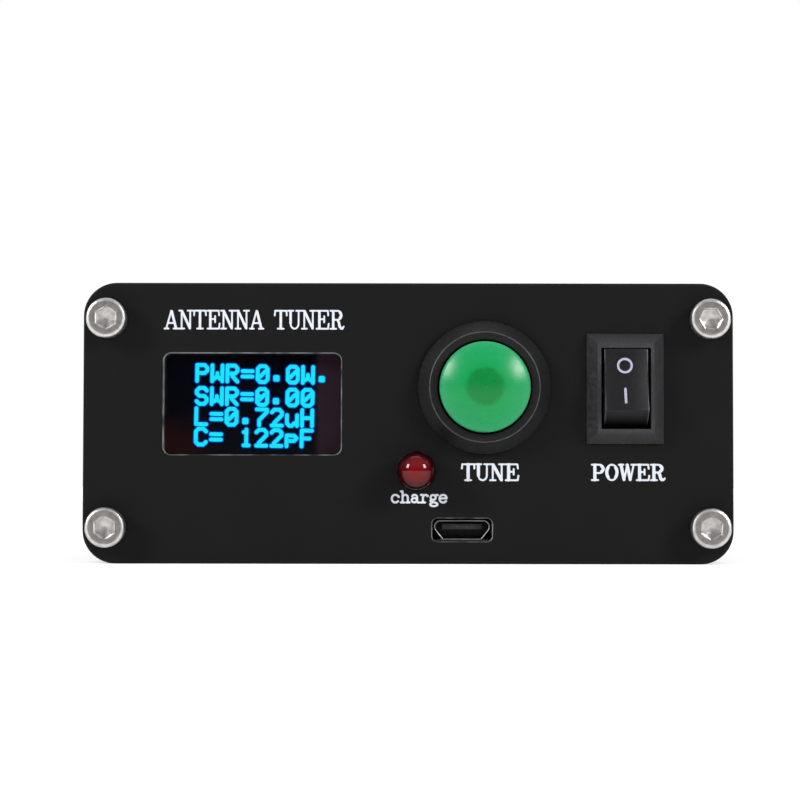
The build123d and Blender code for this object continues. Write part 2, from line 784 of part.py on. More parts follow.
def dual_in_line(at, base_z, pins, body_width, pin_height):
    """A chip body and its two rows of legs reaching down from it."""
    length = pins / 2 * 2.54
    with BuildPart() as chip:
        with BuildSketch(flat_at(base_z + pin_height)):
            with Locations(at):
                Rectangle(length, body_width)
        extrude(amount=3.3)
        chamfer(chip.edges().group_by(Axis.Z)[-1], length=0.3)
        with BuildSketch(flat_at(base_z + pin_height + 3.3)):
            with Locations((at[0] - length / 2, at[1])):
                Circle(1.1)
        extrude(amount=-0.5, mode=Mode.SUBTRACT)
        with BuildSketch(flat_at(base_z)):
            with Locations(at):
                with GridLocations(2.54, 7.62, int(pins / 2), 2):
                    Rectangle(0.5, 0.3)
        extrude(amount=pin_height + 1.8)
        with BuildSketch(flat_at(base_z + pin_height + 1.5)):
            with Locations(at):
                with GridLocations(2.54, 7.62, int(pins / 2), 2):
                    Rectangle(1.2, 0.3)
                with GridLocations(2.54, (body_width + 7.62) / 2, int(pins / 2), 2):
                    Rectangle(1.2, (7.62 - body_width) / 2 + 0.3)
        extrude(amount=0.3)
    return chip.part


controller_at, driver_places = (-20.0, -31.5), [(9.0, -29.5), (30.0, -29.5)]
chip_socket_height = 3.0
with BuildPart() as chip_socket:
    with BuildSketch(flat_at(board_top)):
        with Locations(controller_at):
            Rectangle(14 * 2.54, 10.2)
            Rectangle(13 * 2.54 - 4, 4.6, mode=Mode.SUBTRACT)
            with GridLocations(2.54, 7.62, 14, 2):
                Rectangle(0.7, 0.5, mode=Mode.SUBTRACT)
    extrude(amount=chip_socket_height)
keep(chip_socket.part, "chip_socket")
keep(dual_in_line(controller_at, board_top + 0.6, 28, 7.0, 3.0), "microcontroller")
driver_chips = [dual_in_line(at, board_top, 16, 6.4, 0.6) for at in driver_places]
keep(group("driver_chips", driver_chips), "driver_chips")

regulator_at = (-34.5, -41.5)
with BuildPart() as voltage_regulator:
    with BuildSketch(flat_at(board_top + 3.5)):
        with Locations(regulator_at):
            Rectangle(10.0, 4.4)
    extrude(amount=9.2)
    with BuildSketch(flat_at(board_top + 3.5)):
        with Locations((regulator_at[0], regulator_at[1] - 1.55)):
            Rectangle(10.0, 1.3)
    extrude(amount=15.5)
    with BuildSketch(Plane.XZ.offset(-regulator_at[1] - 5)):
        with Locations((regulator_at[0], board_top + 16.0)):
            Circle(1.8)
    extrude(amount=10, mode=Mode.SUBTRACT)
    with BuildSketch(flat_at(board_top)):
        with Locations((regulator_at[0], regulator_at[1] + 0.6)):
            with GridLocations(2.54, 0, 3, 1):
                Rectangle(0.8, 0.5)
    extrude(amount=3.5)
keep(voltage_regulator.part, "voltage_regulator")

with BuildPart() as electrolytic_capacitors:
    for (x, y), radius, height in (((-9.5, -41.0), 4.0, 11.5), ((37.2, -41.0), 3.15, 11.0)):
        with BuildSketch(flat_at(board_top)):
            with Locations((x, y)):
                Circle(radius)
        extrude(amount=height)
    fillet(electrolytic_capacitors.edges().filter_by(GeomType.CIRCLE), radius=0.5)
keep(electrolytic_capacitors.part, "electrolytic_capacitors")

connector_places = [(23.0, -41.0), (31.0, -41.0)]
display_plug_at = (display_at[0], -41.0)
with BuildPart() as board_connectors:
    with BuildSketch(flat_at(board_top)):
        with Locations(*connector_places):
            Rectangle(6.0, 5.8)
            Rectangle(5.0, 4.4, mode=Mode.SUBTRACT)
        with Locations(display_plug_at):
            Rectangle(12.5, 5.8)
            Rectangle(11.5, 4.4, mode=Mode.SUBTRACT)
    extrude(amount=5.5)
    with BuildSketch(flat_at(board_top)):
        with Locations(*connector_places):
            Rectangle(5.0, 4.4)
        with Locations(display_plug_at):
            Rectangle(11.5, 4.4)
    extrude(amount=1.0)
keep(board_connectors.part, "board_connectors")

# ---------------------------------------------------------------- wiring
plug_top = board_top + 6.5


with BuildPart() as display_plugs:
    with BuildSketch(flat_at(board_top + 1.0)):
        with Locations(display_plug_at):
            Rectangle(11.3, 4.2)
    extrude(amount=plug_top - board_top - 1.0)
    with BuildSketch(facing_front(module_back - 2.6)):
        with Locations((module_at[0], header_places[0][1])):
            Rectangle(10.2, 2.4)
            with GridLocations(2.54, 0, 4, 1):
                Rectangle(0.7, 0.7, mode=Mode.SUBTRACT)
    extrude(amount=-6.0)
ribbon = [display_plugs.part]
ribbon_y = front_face - module_back + 8.6
for x, z in header_places:
    ribbon.append(
        route(
            [(x, ribbon_y, z), (x, display_plug_at[1], z), (x, display_plug_at[1], plug_top)], 0.6, 2.0
        )
    )
keep(group("display_cable", ribbon), "display_cable")

with BuildPart() as lead_plugs:
    with BuildSketch(flat_at(board_top + 1.0)):
        with Locations(*connector_places):
            Rectangle(4.8, 4.2)
    extrude(amount=plug_top - board_top - 1.0)

battery_front = battery_at[1] - battery_length / 2
battery_lead_z = battery_z + 5.0
battery_wires = []
for x in (connector_places[0][0] - 1.2, connector_places[0][0] + 1.2):
    battery_wires.append(
        route(
            [
                (x, battery_front, battery_lead_z),
                (x, connector_places[0][1], battery_lead_z),
                (x, connector_places[0][1], plug_top),
            ],
            0.6,
            2.5,
        )
    )
keep(group("battery_leads", battery_wires), "battery_leads")

switch_wire_y = front_face - switch_terminal_end
control_wires = [lead_plugs.part]
for (x, z), plug_x, turn_y in zip(switch_terminal_places, (29.9, 32.2), (-37.2, -35.8)):
    control_wires.append(
        route(
            [
                (x, switch_wire_y, z),
                (x, turn_y, z),
                (plug_x, turn_y, z - 4.5),
                (plug_x, connector_places[1][1] + 0.4, plug_top + 2.6),
                (plug_x, connector_places[1][1] + 0.4, plug_top),
            ],
            0.55,
            0.8,
        )
    )
for x, z in button_terminal_places:
    button_wire_y = front_face - button_terminal_end
    control_wires.append(
        route(
            [(x, button_wire_y, z), (x, button_wire_y + 4.0, z), (x, button_wire_y + 4.0, board_top)],
            0.55,
            1.2,
        )
    )
keep(group("control_wires", control_wires), "control_wires")

# ---------------------------------------------------------------- coaxial sockets
spigot_radius, spigot_depth = 6.35, -6.0
recess_radius, recess_depth = 6.1, 1.8
insulator_radius, contact_radius, contact_bore, contact_bore_depth = 5.6, 2.6, 2.0, 10.0
tube_top = flange_thickness + barrel_length
insulator_top, insulator_bottom = tube_top - recess_depth, -5.0
contact_top, contact_bottom = insulator_top + 0.3, -9.5

flanges, barrels, insulators, contacts = [], [], [], []
for place in socket_places:
    with BuildPart() as flange:
        with BuildSketch(facing_rear()):
            with Locations((-place[0], place[1])):
                RectangleRounded(flange_side, flange_side, 1.5)
                Circle(spigot_radius + 0.02, mode=Mode.SUBTRACT)
                with GridLocations(flange_hole_pitch, flange_hole_pitch, 2, 2):
                    Circle(screw_radius + 0.15, mode=Mode.SUBTRACT)
        extrude(amount=flange_thickness)
    flanges.append(flange.part)

    with BuildPart() as barrel:
        with BuildSketch(rear_section(place)):
            Polygon(
                (insulator_radius, spigot_depth),
                (spigot_radius, spigot_depth),
                (spigot_radius, flange_thickness),
                (7.2, flange_thickness),
                (7.2, flange_thickness + 1.0),
                (thread_radius, flange_thickness + 1.5),
                (thread_radius, tube_top - 0.5),
                (thread_radius - 0.5, tube_top),
                (recess_radius, tube_top),
                (recess_radius, insulator_top),
                (insulator_radius, insulator_top),
                align=None,
            )
        revolve(axis=turning_axis(place))
        with BuildSketch(facing_rear(tube_top)):
            with Locations((-place[0], place[1])):
                with PolarLocations(thread_radius, 4, start_angle=45):
                    Rectangle(4.2, 1.6)
        extrude(amount=-1.3, mode=Mode.SUBTRACT)
    barrels.append(barrel.part)

    with BuildPart() as insulator:
        with BuildSketch(rear_section(place)):
            Polygon(
                (contact_radius + 0.02, insulator_bottom),
                (insulator_radius - 0.02, insulator_bottom),
                (insulator_radius - 0.02, insulator_top),
                (contact_radius + 0.02, insulator_top),
                align=None,
            )
        revolve(axis=turning_axis(place))
    insulators.append(insulator.part)

    with BuildPart() as contact:
        with BuildSketch(rear_section(place)):
            Polygon(
                (0, contact_bottom + 3.0),
                (1.3, contact_bottom + 3.0),
                (1.3, contact_bottom),
                (2.0, contact_bottom),
                (2.0, insulator_bottom - 0.1),
                (contact_radius, insulator_bottom - 0.1),
                (contact_radius, contact_top - 0.3),
                (contact_radius - 0.3, contact_top),
                (contact_bore, contact_top),
                (contact_bore, contact_top - contact_bore_depth),
                (0, contact_top - contact_bore_depth),
                align=None,
            )
        revolve(axis=turning_axis(place))
    contacts.append(contact.part)
keep(group("rf_socket_flanges", flanges), "rf_socket_flanges")
keep(group("rf_socket_barrels", barrels), "rf_socket_barrels")
keep(group("rf_socket_insulators", insulators), "rf_socket_insulators")
keep(group("rf_socket_contacts", contacts), "rf_socket_contacts")

jumpers = []
for (x, z) in socket_places:
    cup_y = rear_face + contact_bottom
    jumpers.append(route([(x, cup_y + 2.6, z), (x, 43.5, z), (x, 43.5, board_top)], 0.8, 2.2))
keep(group("rf_jumpers", jumpers), "rf_jumpers")

flange_screw_head = 2.0
with BuildPart() as socket_flange_screws:
    with BuildSketch(facing_rear(flange_thickness)):
        with Locations(*[(-x, z) for x, z in flange_places]):
            Circle(2.75)
    extrude(amount=flange_screw_head)
    fillet(socket_flange_screws.edges().filter_by(GeomType.CIRCLE).group_by(Axis.Y)[-1], radius=1.2)
    with BuildSketch(facing_rear(flange_thickness + flange_screw_head)):
        with Locations(*[(-x, z) for x, z in flange_places]):
            Rectangle(2.6, 0.6)
            Rectangle(0.6, 2.6)
    extrude(amount=-1.2, mode=Mode.SUBTRACT)
    with BuildSketch(facing_rear(flange_thickness)):
        with Locations(*[(-x, z) for x, z in flange_places]):
            Circle(screw_radius)
    extrude(amount=-(flange_thickness + 5.2))
keep(socket_flange_screws.part, "socket_flange_screws")

with BuildPart() as socket_flange_nuts:
    with BuildSketch(facing_rear(-panel_thickness)):
        with Locations(*[(-x, z) for x, z in flange_places]):
            RegularPolygon(2.75, 6, major_radius=False)
            Circle(screw_radius + 0.03, mode=Mode.SUBTRACT)
    extrude(amount=-2.4)
keep(socket_flange_nuts.part, "socket_flange_nuts")

# ---------------------------------------------------------------- earth post
post_at = (0.0, socket_z)
stud_radius, stud_tip = 2.0, 15.0
washer_thickness, post_nut_height = 0.8, 3.2
thumb_start, thumb_height, thumb_radius = 4.6, 8.0, 5.2
with BuildPart() as earth_stud:
    with BuildSketch(facing_rear(-panel_thickness - 2.8)):
        with Locations(post_at):
            RegularPolygon(3.5, 6, major_radius=False)
    extrude(amount=2.8)
    with BuildSketch(facing_rear(-panel_thickness)):
        with Locations(post_at):
            Circle(stud_radius)
    extrude(amount=stud_tip + panel_thickness)
    chamfer(earth_stud.faces().sort_by(Axis.Y)[-1].edges(), length=0.4)
keep(earth_stud.part, "earth_stud")

with BuildPart() as earth_washer:
    with BuildSketch(facing_rear()):
        with Locations(post_at):
            Circle(4.5)
            Circle(stud_radius + 0.15, mode=Mode.SUBTRACT)
    extrude(amount=washer_thickness)
keep(earth_washer.part, "earth_washer")

with BuildPart() as earth_nut:
    with BuildSketch(facing_rear(washer_thickness)):
        with Locations(post_at):
            RegularPolygon(3.5, 6, major_radius=False)
            Circle(stud_radius + 0.03, mode=Mode.SUBTRACT)
    extrude(amount=post_nut_height)
keep(earth_nut.part, "earth_nut")

with BuildPart() as earth_thumb_nut:
    with BuildSketch(rear_section(post_at)):
        Polygon(
            (stud_radius + slack, thumb_start),
            (3.4, thumb_start),
            (3.4, thumb_start + 2.0),
            (thumb_radius - 0.4, thumb_start + 2.0),
            (thumb_radius, thumb_start + 2.4),
            (thumb_radius, thumb_start + thumb_height - 0.5),
            (thumb_radius - 0.5, thumb_start + thumb_height),
            (stud_radius + slack, thumb_start + thumb_height),
            align=None,
        )
    revolve(axis=turning_axis(post_at))
    with BuildSketch(facing_rear(thumb_start + 2.0)):
        with Locations(post_at):
            with PolarLocations(thumb_radius + 0.05, 32):
                Rectangle(0.5, 0.5, rotation=45)
    extrude(amount=thumb_height, mode=Mode.SUBTRACT)
keep(earth_thumb_nut.part, "earth_thumb_nut")

# ---------------------------------------------------------------- export
os.makedirs("parts", exist_ok=True)
for piece in finished:
    export_step(piece, f"parts/{piece.label}.step")
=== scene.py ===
"""Looks of the antenna tuner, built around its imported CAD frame. Lengths here are in millimetres
until they reach a mesh or a node; +Y runs from the front panel to the rear."""

import json
import math

import bmesh
import bpy
import numpy as np
from mathutils import Matrix, Vector


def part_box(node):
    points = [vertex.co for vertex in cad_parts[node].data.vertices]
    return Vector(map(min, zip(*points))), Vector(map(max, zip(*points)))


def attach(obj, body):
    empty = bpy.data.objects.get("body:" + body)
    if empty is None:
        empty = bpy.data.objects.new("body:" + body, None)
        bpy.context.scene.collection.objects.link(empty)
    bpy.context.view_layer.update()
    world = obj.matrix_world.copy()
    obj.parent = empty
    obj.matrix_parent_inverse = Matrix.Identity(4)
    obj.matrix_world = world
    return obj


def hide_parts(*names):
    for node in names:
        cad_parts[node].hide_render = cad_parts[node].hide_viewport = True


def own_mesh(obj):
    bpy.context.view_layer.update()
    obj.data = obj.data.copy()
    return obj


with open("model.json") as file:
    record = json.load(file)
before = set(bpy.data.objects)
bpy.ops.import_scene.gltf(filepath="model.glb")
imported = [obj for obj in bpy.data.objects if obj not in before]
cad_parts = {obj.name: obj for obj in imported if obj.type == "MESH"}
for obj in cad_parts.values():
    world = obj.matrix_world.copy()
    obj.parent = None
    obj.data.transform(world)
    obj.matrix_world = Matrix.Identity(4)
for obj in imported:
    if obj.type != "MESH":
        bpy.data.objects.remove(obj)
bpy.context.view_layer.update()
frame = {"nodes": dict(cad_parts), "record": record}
nodes = frame["nodes"]
MM = 0.001

for leftover in [o for o in bpy.data.objects if o.type in ("LIGHT", "CAMERA")]:
    bpy.data.objects.remove(leftover)


# ---- places read from the frame
def box_mm(node):
    low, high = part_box(node)
    return low / MM, high / MM


def middle(node):
    low, high = box_mm(node)
    return (low + high) / 2


FRONT = box_mm("front_panel")[0].y
REAR = box_mm("rear_panel")[1].y
button = middle("tune_button_cap")
switch = middle("power_switch_housing")
lamp = middle("charge_lamp_lens")
usb = middle("usb_socket_shell")
glass_low, glass_high = box_mm("display_glass")
screws_low, screws_high = box_mm("front_panel_screws")
HEAD_R = 2.7
ROCKER_HALF = 2.975


# ---- material helpers
materials = {}


def plug(socket, value):
    """Links an input to another node's output, or gives it a plain value."""
    if isinstance(value, bpy.types.NodeSocket):
        socket.id_data.links.new(value, socket)
    else:
        socket.default_value = value


def feed(node, **values):
    """Plugs a node's inputs by name, with an underscore for each space."""
    for name, value in values.items():
        plug(node.inputs[name.replace("_", " ")], value)


def new_node(near, kind, **values):
    """A node in the tree that near belongs to."""
    node = near.id_data.nodes.new("ShaderNode" + kind)
    feed(node, **values)
    return node


def new_material(name):
    material = bpy.data.materials.new(name)
    material.use_nodes = True
    tree = material.node_tree
    tree.nodes.clear()
    shader = new_node(tree, "BsdfPrincipled")
    new_node(tree, "OutputMaterial", Surface=shader.outputs[0])
    materials[name] = material
    return tree, shader


def noise(tree, size_mm, detail=3.0, stretch=(1, 1, 1), roughness=0.55):
    """Noise whose features are about size_mm across, in the object's own space."""
    place = new_node(tree, "TexCoord").outputs["Object"]
    scale = [s / (size_mm * MM) for s in stretch]
    scaled_place = new_node(tree, "Mapping", Vector=place, Scale=scale).outputs["Vector"]
    texture = new_node(tree, "TexNoise", Vector=scaled_place, Scale=1.0, Detail=detail, Roughness=roughness)
    return texture.outputs["Fac"]


def object_xyz(tree):
    """The place in the object's own space, as outputs named X, Y and Z."""
    place = new_node(tree, "TexCoord").outputs["Object"]
    return new_node(tree, "SeparateXYZ", Vector=place).outputs


def ramp(factor, *stops):
    """Colour ramp through (position, colour) stops."""
    node = new_node(factor, "ValToRGB", Fac=factor)
    while len(node.color_ramp.elements) < len(stops):
        node.color_ramp.elements.new(0.5)
    for element, (position, colour) in zip(node.color_ramp.elements, stops):
        element.position = position
        element.color = (*colour, 1)
    return node.outputs["Color"]


def grey(value):
    return (value, value, value)


def scaled(colour, factor):
    return tuple(c * factor for c in colour)


def remap(value, low, high, start=0.3, end=0.7):
    """Low where value is start and high where it is end, even between them and level beyond."""
    node = new_node(value, "MapRange", Value=value, From_Min=start, From_Max=end, To_Min=low, To_Max=high)
    return node.outputs["Result"]


def calc(operation, a, b=None):
    node = new_node(a, "Math")
    node.operation = operation
    plug(node.inputs[0], a)
    if b is not None:
        plug(node.inputs[1], b)
    return node.outputs[0]


def mix_colour(factor, a, b):
    """From a to b, which may be a plain colour, as factor goes from 0 to 1."""
    node = new_node(factor, "Mix")
    node.data_type = "RGBA"
    feed(node, Factor=factor, A=a, B=(*b, 1) if isinstance(b, tuple) else b)
    return node.outputs["Result"]


def bump(shader, height, depth_mm):
    node = new_node(shader, "Bump", Height=height, Strength=1.0, Distance=depth_mm * MM)
    feed(shader, Normal=node.outputs["Normal"])


def away(value, centre):
    """How far a coordinate is from a centre, either way."""
    return calc("ABSOLUTE", calc("SUBTRACT", value, centre * MM))


def root_sum(a, b):
    return calc("SQRT", calc("ADD", calc("MULTIPLY", a, a), calc("MULTIPLY", b, b)))


def radius_from(tree, place):
    """Distance from the axis along Y through place."""
    here = object_xyz(tree)
    return root_sum(away(here["X"], place.x), away(here["Z"], place.z))


def wobbly_radius(tree, place, size_mm):
    """That distance, uneven by up to half a millimetre."""
    return calc("ADD", radius_from(tree, place), calc("MULTIPLY", noise(tree, size_mm, 3.0), 0.5 * MM))


# ---- materials
def surface(
    name, colour, rough, metal, mottle, mottle_mm, spread, grain_mm, grain_depth,
    stretch=(1, 1, 1), coat=0.0, specular=0.5, subsurface=0.0,
):
    """A general finish: colour uneven by mottle, roughness by spread, and a fine grain in the normal."""
    tree, shader = new_material(name)
    broad = noise(tree, mottle_mm, 4.0)
    fine = noise(tree, grain_mm, 2.0, stretch)
    feed(
        shader,
        Base_Color=ramp(broad, (0.3, scaled(colour, 1 - mottle)), (0.7, scaled(colour, 1 + mottle))),
        Roughness=remap(fine, rough - spread, rough + spread),
        Metallic=metal,
        Coat_Weight=coat,
        Coat_Roughness=0.1,
        Specular_IOR_Level=specular,
        Subsurface_Weight=subsurface,
        Subsurface_Radius=grey(1.0),
        Subsurface_Scale=0.6 * MM,
    )
    bump(shader, fine, grain_depth)


def round_line(place, radius):
    """Signed distance from a circle about the axis through place."""
    return lambda tree: calc("SUBTRACT", radius_from(tree, place), radius * MM)


def side_lines(centre_x, half):
    """Signed distance from the two planes half either side of centre_x."""
    return lambda tree: calc("SUBTRACT", away(object_xyz(tree)["X"], centre_x), half * MM)


def moulded(name, colour, rough, sparkle_mm, depth, specular, glint_gain, painted_edge_highlight=None):
    """Black moulded plastic from a spark-eroded tool: coarse grain, pits, and painted glints, flecks painted
    the given number of times as bright. The last argument, if given, is a line along which the edge is
    painted lighter as a painted highlight, and how far that spreads."""
    tree, shader = new_material(name)
    coarse = noise(tree, sparkle_mm, 2.0, roughness=0.7)
    pits = noise(tree, sparkle_mm * 3.1, 3.0)
    glint_noise = noise(tree, sparkle_mm * 0.9, 1.0, roughness=0.8)
    glint_patches = remap(noise(tree, 3.0, 2.0), 0.15, 1.0, 0.42, 0.58)
    body = ramp(coarse, (0.4, scaled(colour, 0.85)), (0.7, scaled(colour, 1.3)))
    # painted glints: flecks of the base colour made many times brighter, as light glinting off the grain
    bright = calc("MULTIPLY", remap(glint_noise, 0.0, 1.0, 0.62, 0.74), glint_patches)
    body = mix_colour(bright, body, scaled(colour, glint_gain))
    if painted_edge_highlight:
        line, reach = painted_edge_highlight
        # painted highlight: the base colour is made lighter along this edge line
        edge = remap(calc("ABSOLUTE", line(tree)), 1.0, 0.0, 0.0, reach * MM)
        edge = calc("MULTIPLY", edge, remap(pits, 0.35, 1.0))
        body = mix_colour(edge, body, (0.09, 0.09, 0.093))
    feed(shader, Base_Color=body, Specular_IOR_Level=specular)
    feed(shader, Roughness=remap(pits, rough - 0.08, rough + 0.1))
    bump(shader, coarse, depth)


shell_black, along_y = (0.013, 0.013, 0.0135), (3, 0.04, 3)
surface("shell_anodised", shell_black, 0.42, 0.0, 0.1, 20, 0.07, 0.3, 0.01, along_y, specular=0.35)
surface("panel_anodised", grey(0.006), 0.55, 0.0, 0.06, 14, 0.05, 0.12, 0.006, specular=0.1)
surface("foam_black", grey(0.012), 0.95, 0.0, 0.3, 0.5, 0.04, 0.3, 0.1)
surface("board_blue", (0.004, 0.025, 0.16), 0.3, 0.0, 0.15, 3, 0.06, 0.5, 0.01, coat=0.5)
surface("board_green", (0.004, 0.09, 0.03), 0.3, 0.0, 0.15, 3, 0.06, 0.5, 0.01, coat=0.5)
surface("moulded_natural", (0.72, 0.68, 0.56), 0.45, 0.0, 0.05, 3, 0.06, 0.3, 0.01, subsurface=0.1)
surface("spring_wire", grey(0.6), 0.25, 1.0, 0.05, 1, 0.08, 0.1, 0.004)
surface("contact_tin", (0.68, 0.68, 0.67), 0.35, 1.0, 0.08, 0.8, 0.1, 0.15, 0.01)
surface("contact_brass", (0.72, 0.5, 0.2), 0.25, 1.0, 0.1, 1, 0.08, 0.12, 0.006)
surface("ring_red", (0.42, 0.03, 0.02), 0.5, 0.0, 0.15, 1.5, 0.08, 0.3, 0.03)
surface("copper_enamel", (0.55, 0.2, 0.07), 0.25, 1.0, 0.12, 2, 0.06, 0.3, 0.004, coat=0.8)
surface("ceramic_tan", (0.55, 0.28, 0.07), 0.35, 0.0, 0.1, 1.5, 0.08, 0.6, 0.03, coat=0.3)
surface("chip_black", (0.012, 0.012, 0.013), 0.6, 0.0, 0.2, 1, 0.08, 0.12, 0.01)
surface("battery_foil", (0.62, 0.62, 0.63), 0.35, 1.0, 0.05, 8, 0.08, 3.0, 0.12)
surface("tape_white", (0.75, 0.75, 0.72), 0.8, 0.0, 0.06, 1, 0.05, 0.3, 0.05)
surface("wire_red", (0.45, 0.012, 0.01), 0.35, 0.0, 0.06, 2, 0.05, 0.3, 0.006)
surface("wire_black", grey(0.012), 0.4, 0.0, 0.1, 2, 0.05, 0.3, 0.006)
surface("nickel_plate", (0.66, 0.64, 0.6), 0.22, 1.0, 0.06, 2.5, 0.08, 0.12, 0.005)
surface("ptfe_white", (0.8, 0.8, 0.77), 0.42, 0.0, 0.03, 2, 0.05, 0.2, 0.01, subsurface=0.3)
surface("print_white", (0.475, 0.50, 0.55), 0.6, 0.0, 0.05, 0.5, 0.05, 0.12, 0.01)
surface("mark_lilac", (0.27, 0.275, 0.35), 0.6, 0.0, 0.05, 0.5, 0.05, 0.12, 0.01)
surface("usb_steel", (0.36, 0.35, 0.335), 0.36, 1.0, 0.15, 0.6, 0.1, 0.1, 0.01)
surface("contact_dull", (0.06, 0.058, 0.055), 0.5, 0.6, 0.1, 0.5, 0.1, 0.1, 0.01)
surface("tongue_black", (0.030, 0.030, 0.031), 0.6, 0.0, 0.2, 1.0, 0.08, 0.12, 0.01, specular=0.15)

moulded("moulded_black", (0.0075, 0.0075, 0.0088), 0.42, 0.2, 0.03, 0.55, 11.0)
# the rocker's side edges get a painted highlight line
rocker_edge_highlight_lines = side_lines(switch.x, ROCKER_HALF - 0.09)
moulded("rocker_black", (0.0040, 0.0040, 0.0052), 0.4, 0.1, 0.006, 0.22, 5.0, (rocker_edge_highlight_lines, 0.1))
# the bezel's lip gets a painted highlight line
bezel_lip_highlight_line = round_line(button, 7.42)
moulded("bezel_black", (0.0046, 0.0047, 0.0050), 0.46, 0.16, 0.02, 0.18, 5.0, (bezel_lip_highlight_line, 0.09))


def green_cap_material():
    """Clear green moulding: the stem behind it shows as a darker disc, and its thin edge is painted lighter
    as a painted glow.
    """
    tree, shader = new_material("cap_green")
    # painted glow: the colour is lighter towards the cap's edge
    colour = ramp(
        remap(wobbly_radius(tree, button, 1.6), 0.0, 1.0, 0.0, 6.6 * MM),
        (0.0, (0.0003, 0.143, 0.026)),
        (0.38, (0.0003, 0.143, 0.026)),
        (0.46, (0.0008, 0.210, 0.050)),
        (0.80, (0.004, 0.220, 0.066)),
        (1.0, (0.016, 0.240, 0.094)),
    )
    feed(
        shader,
        Base_Color=colour,
        Roughness=remap(noise(tree, 0.8, 3.0), 0.25, 0.32),
        Specular_IOR_Level=0.25,
        Subsurface_Weight=0.12,
        Subsurface_Radius=(0.3, 1.0, 0.5),
        Subsurface_Scale=0.5 * MM,
    )
    bump(shader, noise(tree, 2.5, 2.0), 0.006)


def screw_material():
    """Tumbled steel: a dull turned face, with painted highlights that make the rounded rim, the socket's edge
    and its floor lighter.
    """
    tree, shader = new_material("screw_steel")
    here = object_xyz(tree)
    offsets = []
    for axis, low, high in (("X", screws_low.x, screws_high.x), ("Z", screws_low.z, screws_high.z)):
        reach = (high - low) / 2 - HEAD_R
        offsets.append(calc("SUBTRACT", away(here[axis], (low + high) / 2), reach * MM))
    # painted highlights: the socket floor, the socket's edge and the rounded rim are painted lighter than the
    # face
    tone_and_painted_highlights = ramp(
        remap(root_sum(*offsets), 0.0, 1.0, 0.0, HEAD_R * MM),
        (0.0, (0.60, 0.57, 0.55)),
        (0.42, (0.44, 0.42, 0.405)),
        (0.47, (0.50, 0.485, 0.475)),
        (0.52, (0.46, 0.445, 0.435)),
        (0.56, (0.27, 0.25, 0.24)),
        (0.80, (0.28, 0.262, 0.25)),
        (0.86, (0.54, 0.525, 0.515)),
        (0.93, (0.54, 0.525, 0.515)),
        (1.0, (0.34, 0.33, 0.32)),
    )
    stain = ramp(noise(tree, 0.7, 4.0), (0.38, grey(0.78)), (0.62, grey(1.0)))
    stained = new_node(tree, "VectorMath")
    stained.operation = "MULTIPLY"
    plug(stained.inputs[0], tone_and_painted_highlights)
    plug(stained.inputs[1], stain)
    fine = noise(tree, 0.1, 2.0)
    feed(shader, Base_Color=stained.outputs[0], Roughness=remap(fine, 0.3, 0.46), Metallic=1.0)
    bump(shader, fine, 0.014)


def emitter(name, colour):
    tree, shader = new_material(name)
    feed(
        shader,
        Base_Color=(0.0, 0.0, 0.0, 1),
        Roughness=0.6,
        Specular_IOR_Level=0.0,
        Emission_Color=(*colour, 1),
        Emission_Strength=remap(noise(tree, 0.5, 2.0), 0.9, 1.06),
    )


def lamp_material():
    """Clear red resin over its reflector cup: painted reflection makes it bright over the cup, and painted
    shade makes it nearly black at the rim.
    """
    tree, shader = new_material("lamp_red")
    # painted light and shade: lighter in the middle, near black at the rim
    colour = ramp(
        remap(wobbly_radius(tree, lamp, 1.1), 0.0, 1.0, 0.0, 2.7 * MM),
        (0.0, (0.112, 0.002, 0.0045)),
        (0.45, (0.104, 0.0016, 0.0036)),
        (0.66, (0.088, 0.0008, 0.0022)),
        (0.80, (0.04, 0.0005, 0.002)),
        (1.0, (0.012, 0.0002, 0.0012)),
    )
    feed(shader, Base_Color=colour, Roughness=0.5, Specular_IOR_Level=0.0)
    feed(shader, Coat_Weight=0.5, Coat_Roughness=0.05, Coat_IOR=1.5)


def glass_material():
    """Black display glass: a plain dark border at one side, a faint brown tint at one corner."""
    tree, shader = new_material("display_glass")
    here = object_xyz(tree)
    across = calc("ADD", here["X"], calc("MULTIPLY", noise(tree, 3.0, 3.0), 0.8 * MM))
    lit_end = glass_high.x - 4.75
    border = remap(across, 0.0, 1.0, lit_end * MM, (lit_end + 1.0) * MM)
    left = remap(across, 1.0, 0.0, (glass_low.x + 1.45) * MM, (glass_low.x + 8.45) * MM)
    low = remap(here["Z"], 1.0, 0.0, (glass_low.z + 5.63) * MM, (glass_low.z + 10.63) * MM)
    dark = ramp(noise(tree, 5, 3), (0.3, (0.0003, 0.0003, 0.0016)), (0.7, (0.0006, 0.0008, 0.0034)))
    dark = mix_colour(border, dark, (0.017, 0.009, 0.014))
    tinted = mix_colour(calc("MULTIPLY", left, low), dark, (0.016, 0.0022, 0.0015))
    feed(shader, Base_Color=tinted, Roughness=0.12, Specular_IOR_Level=0.1)
    feed(shader, Coat_Weight=0.35, Coat_Roughness=0.03)


WINDOW_MIDDLE = ((glass_low.x + glass_high.x) / 2, glass_high.z - 7.5)


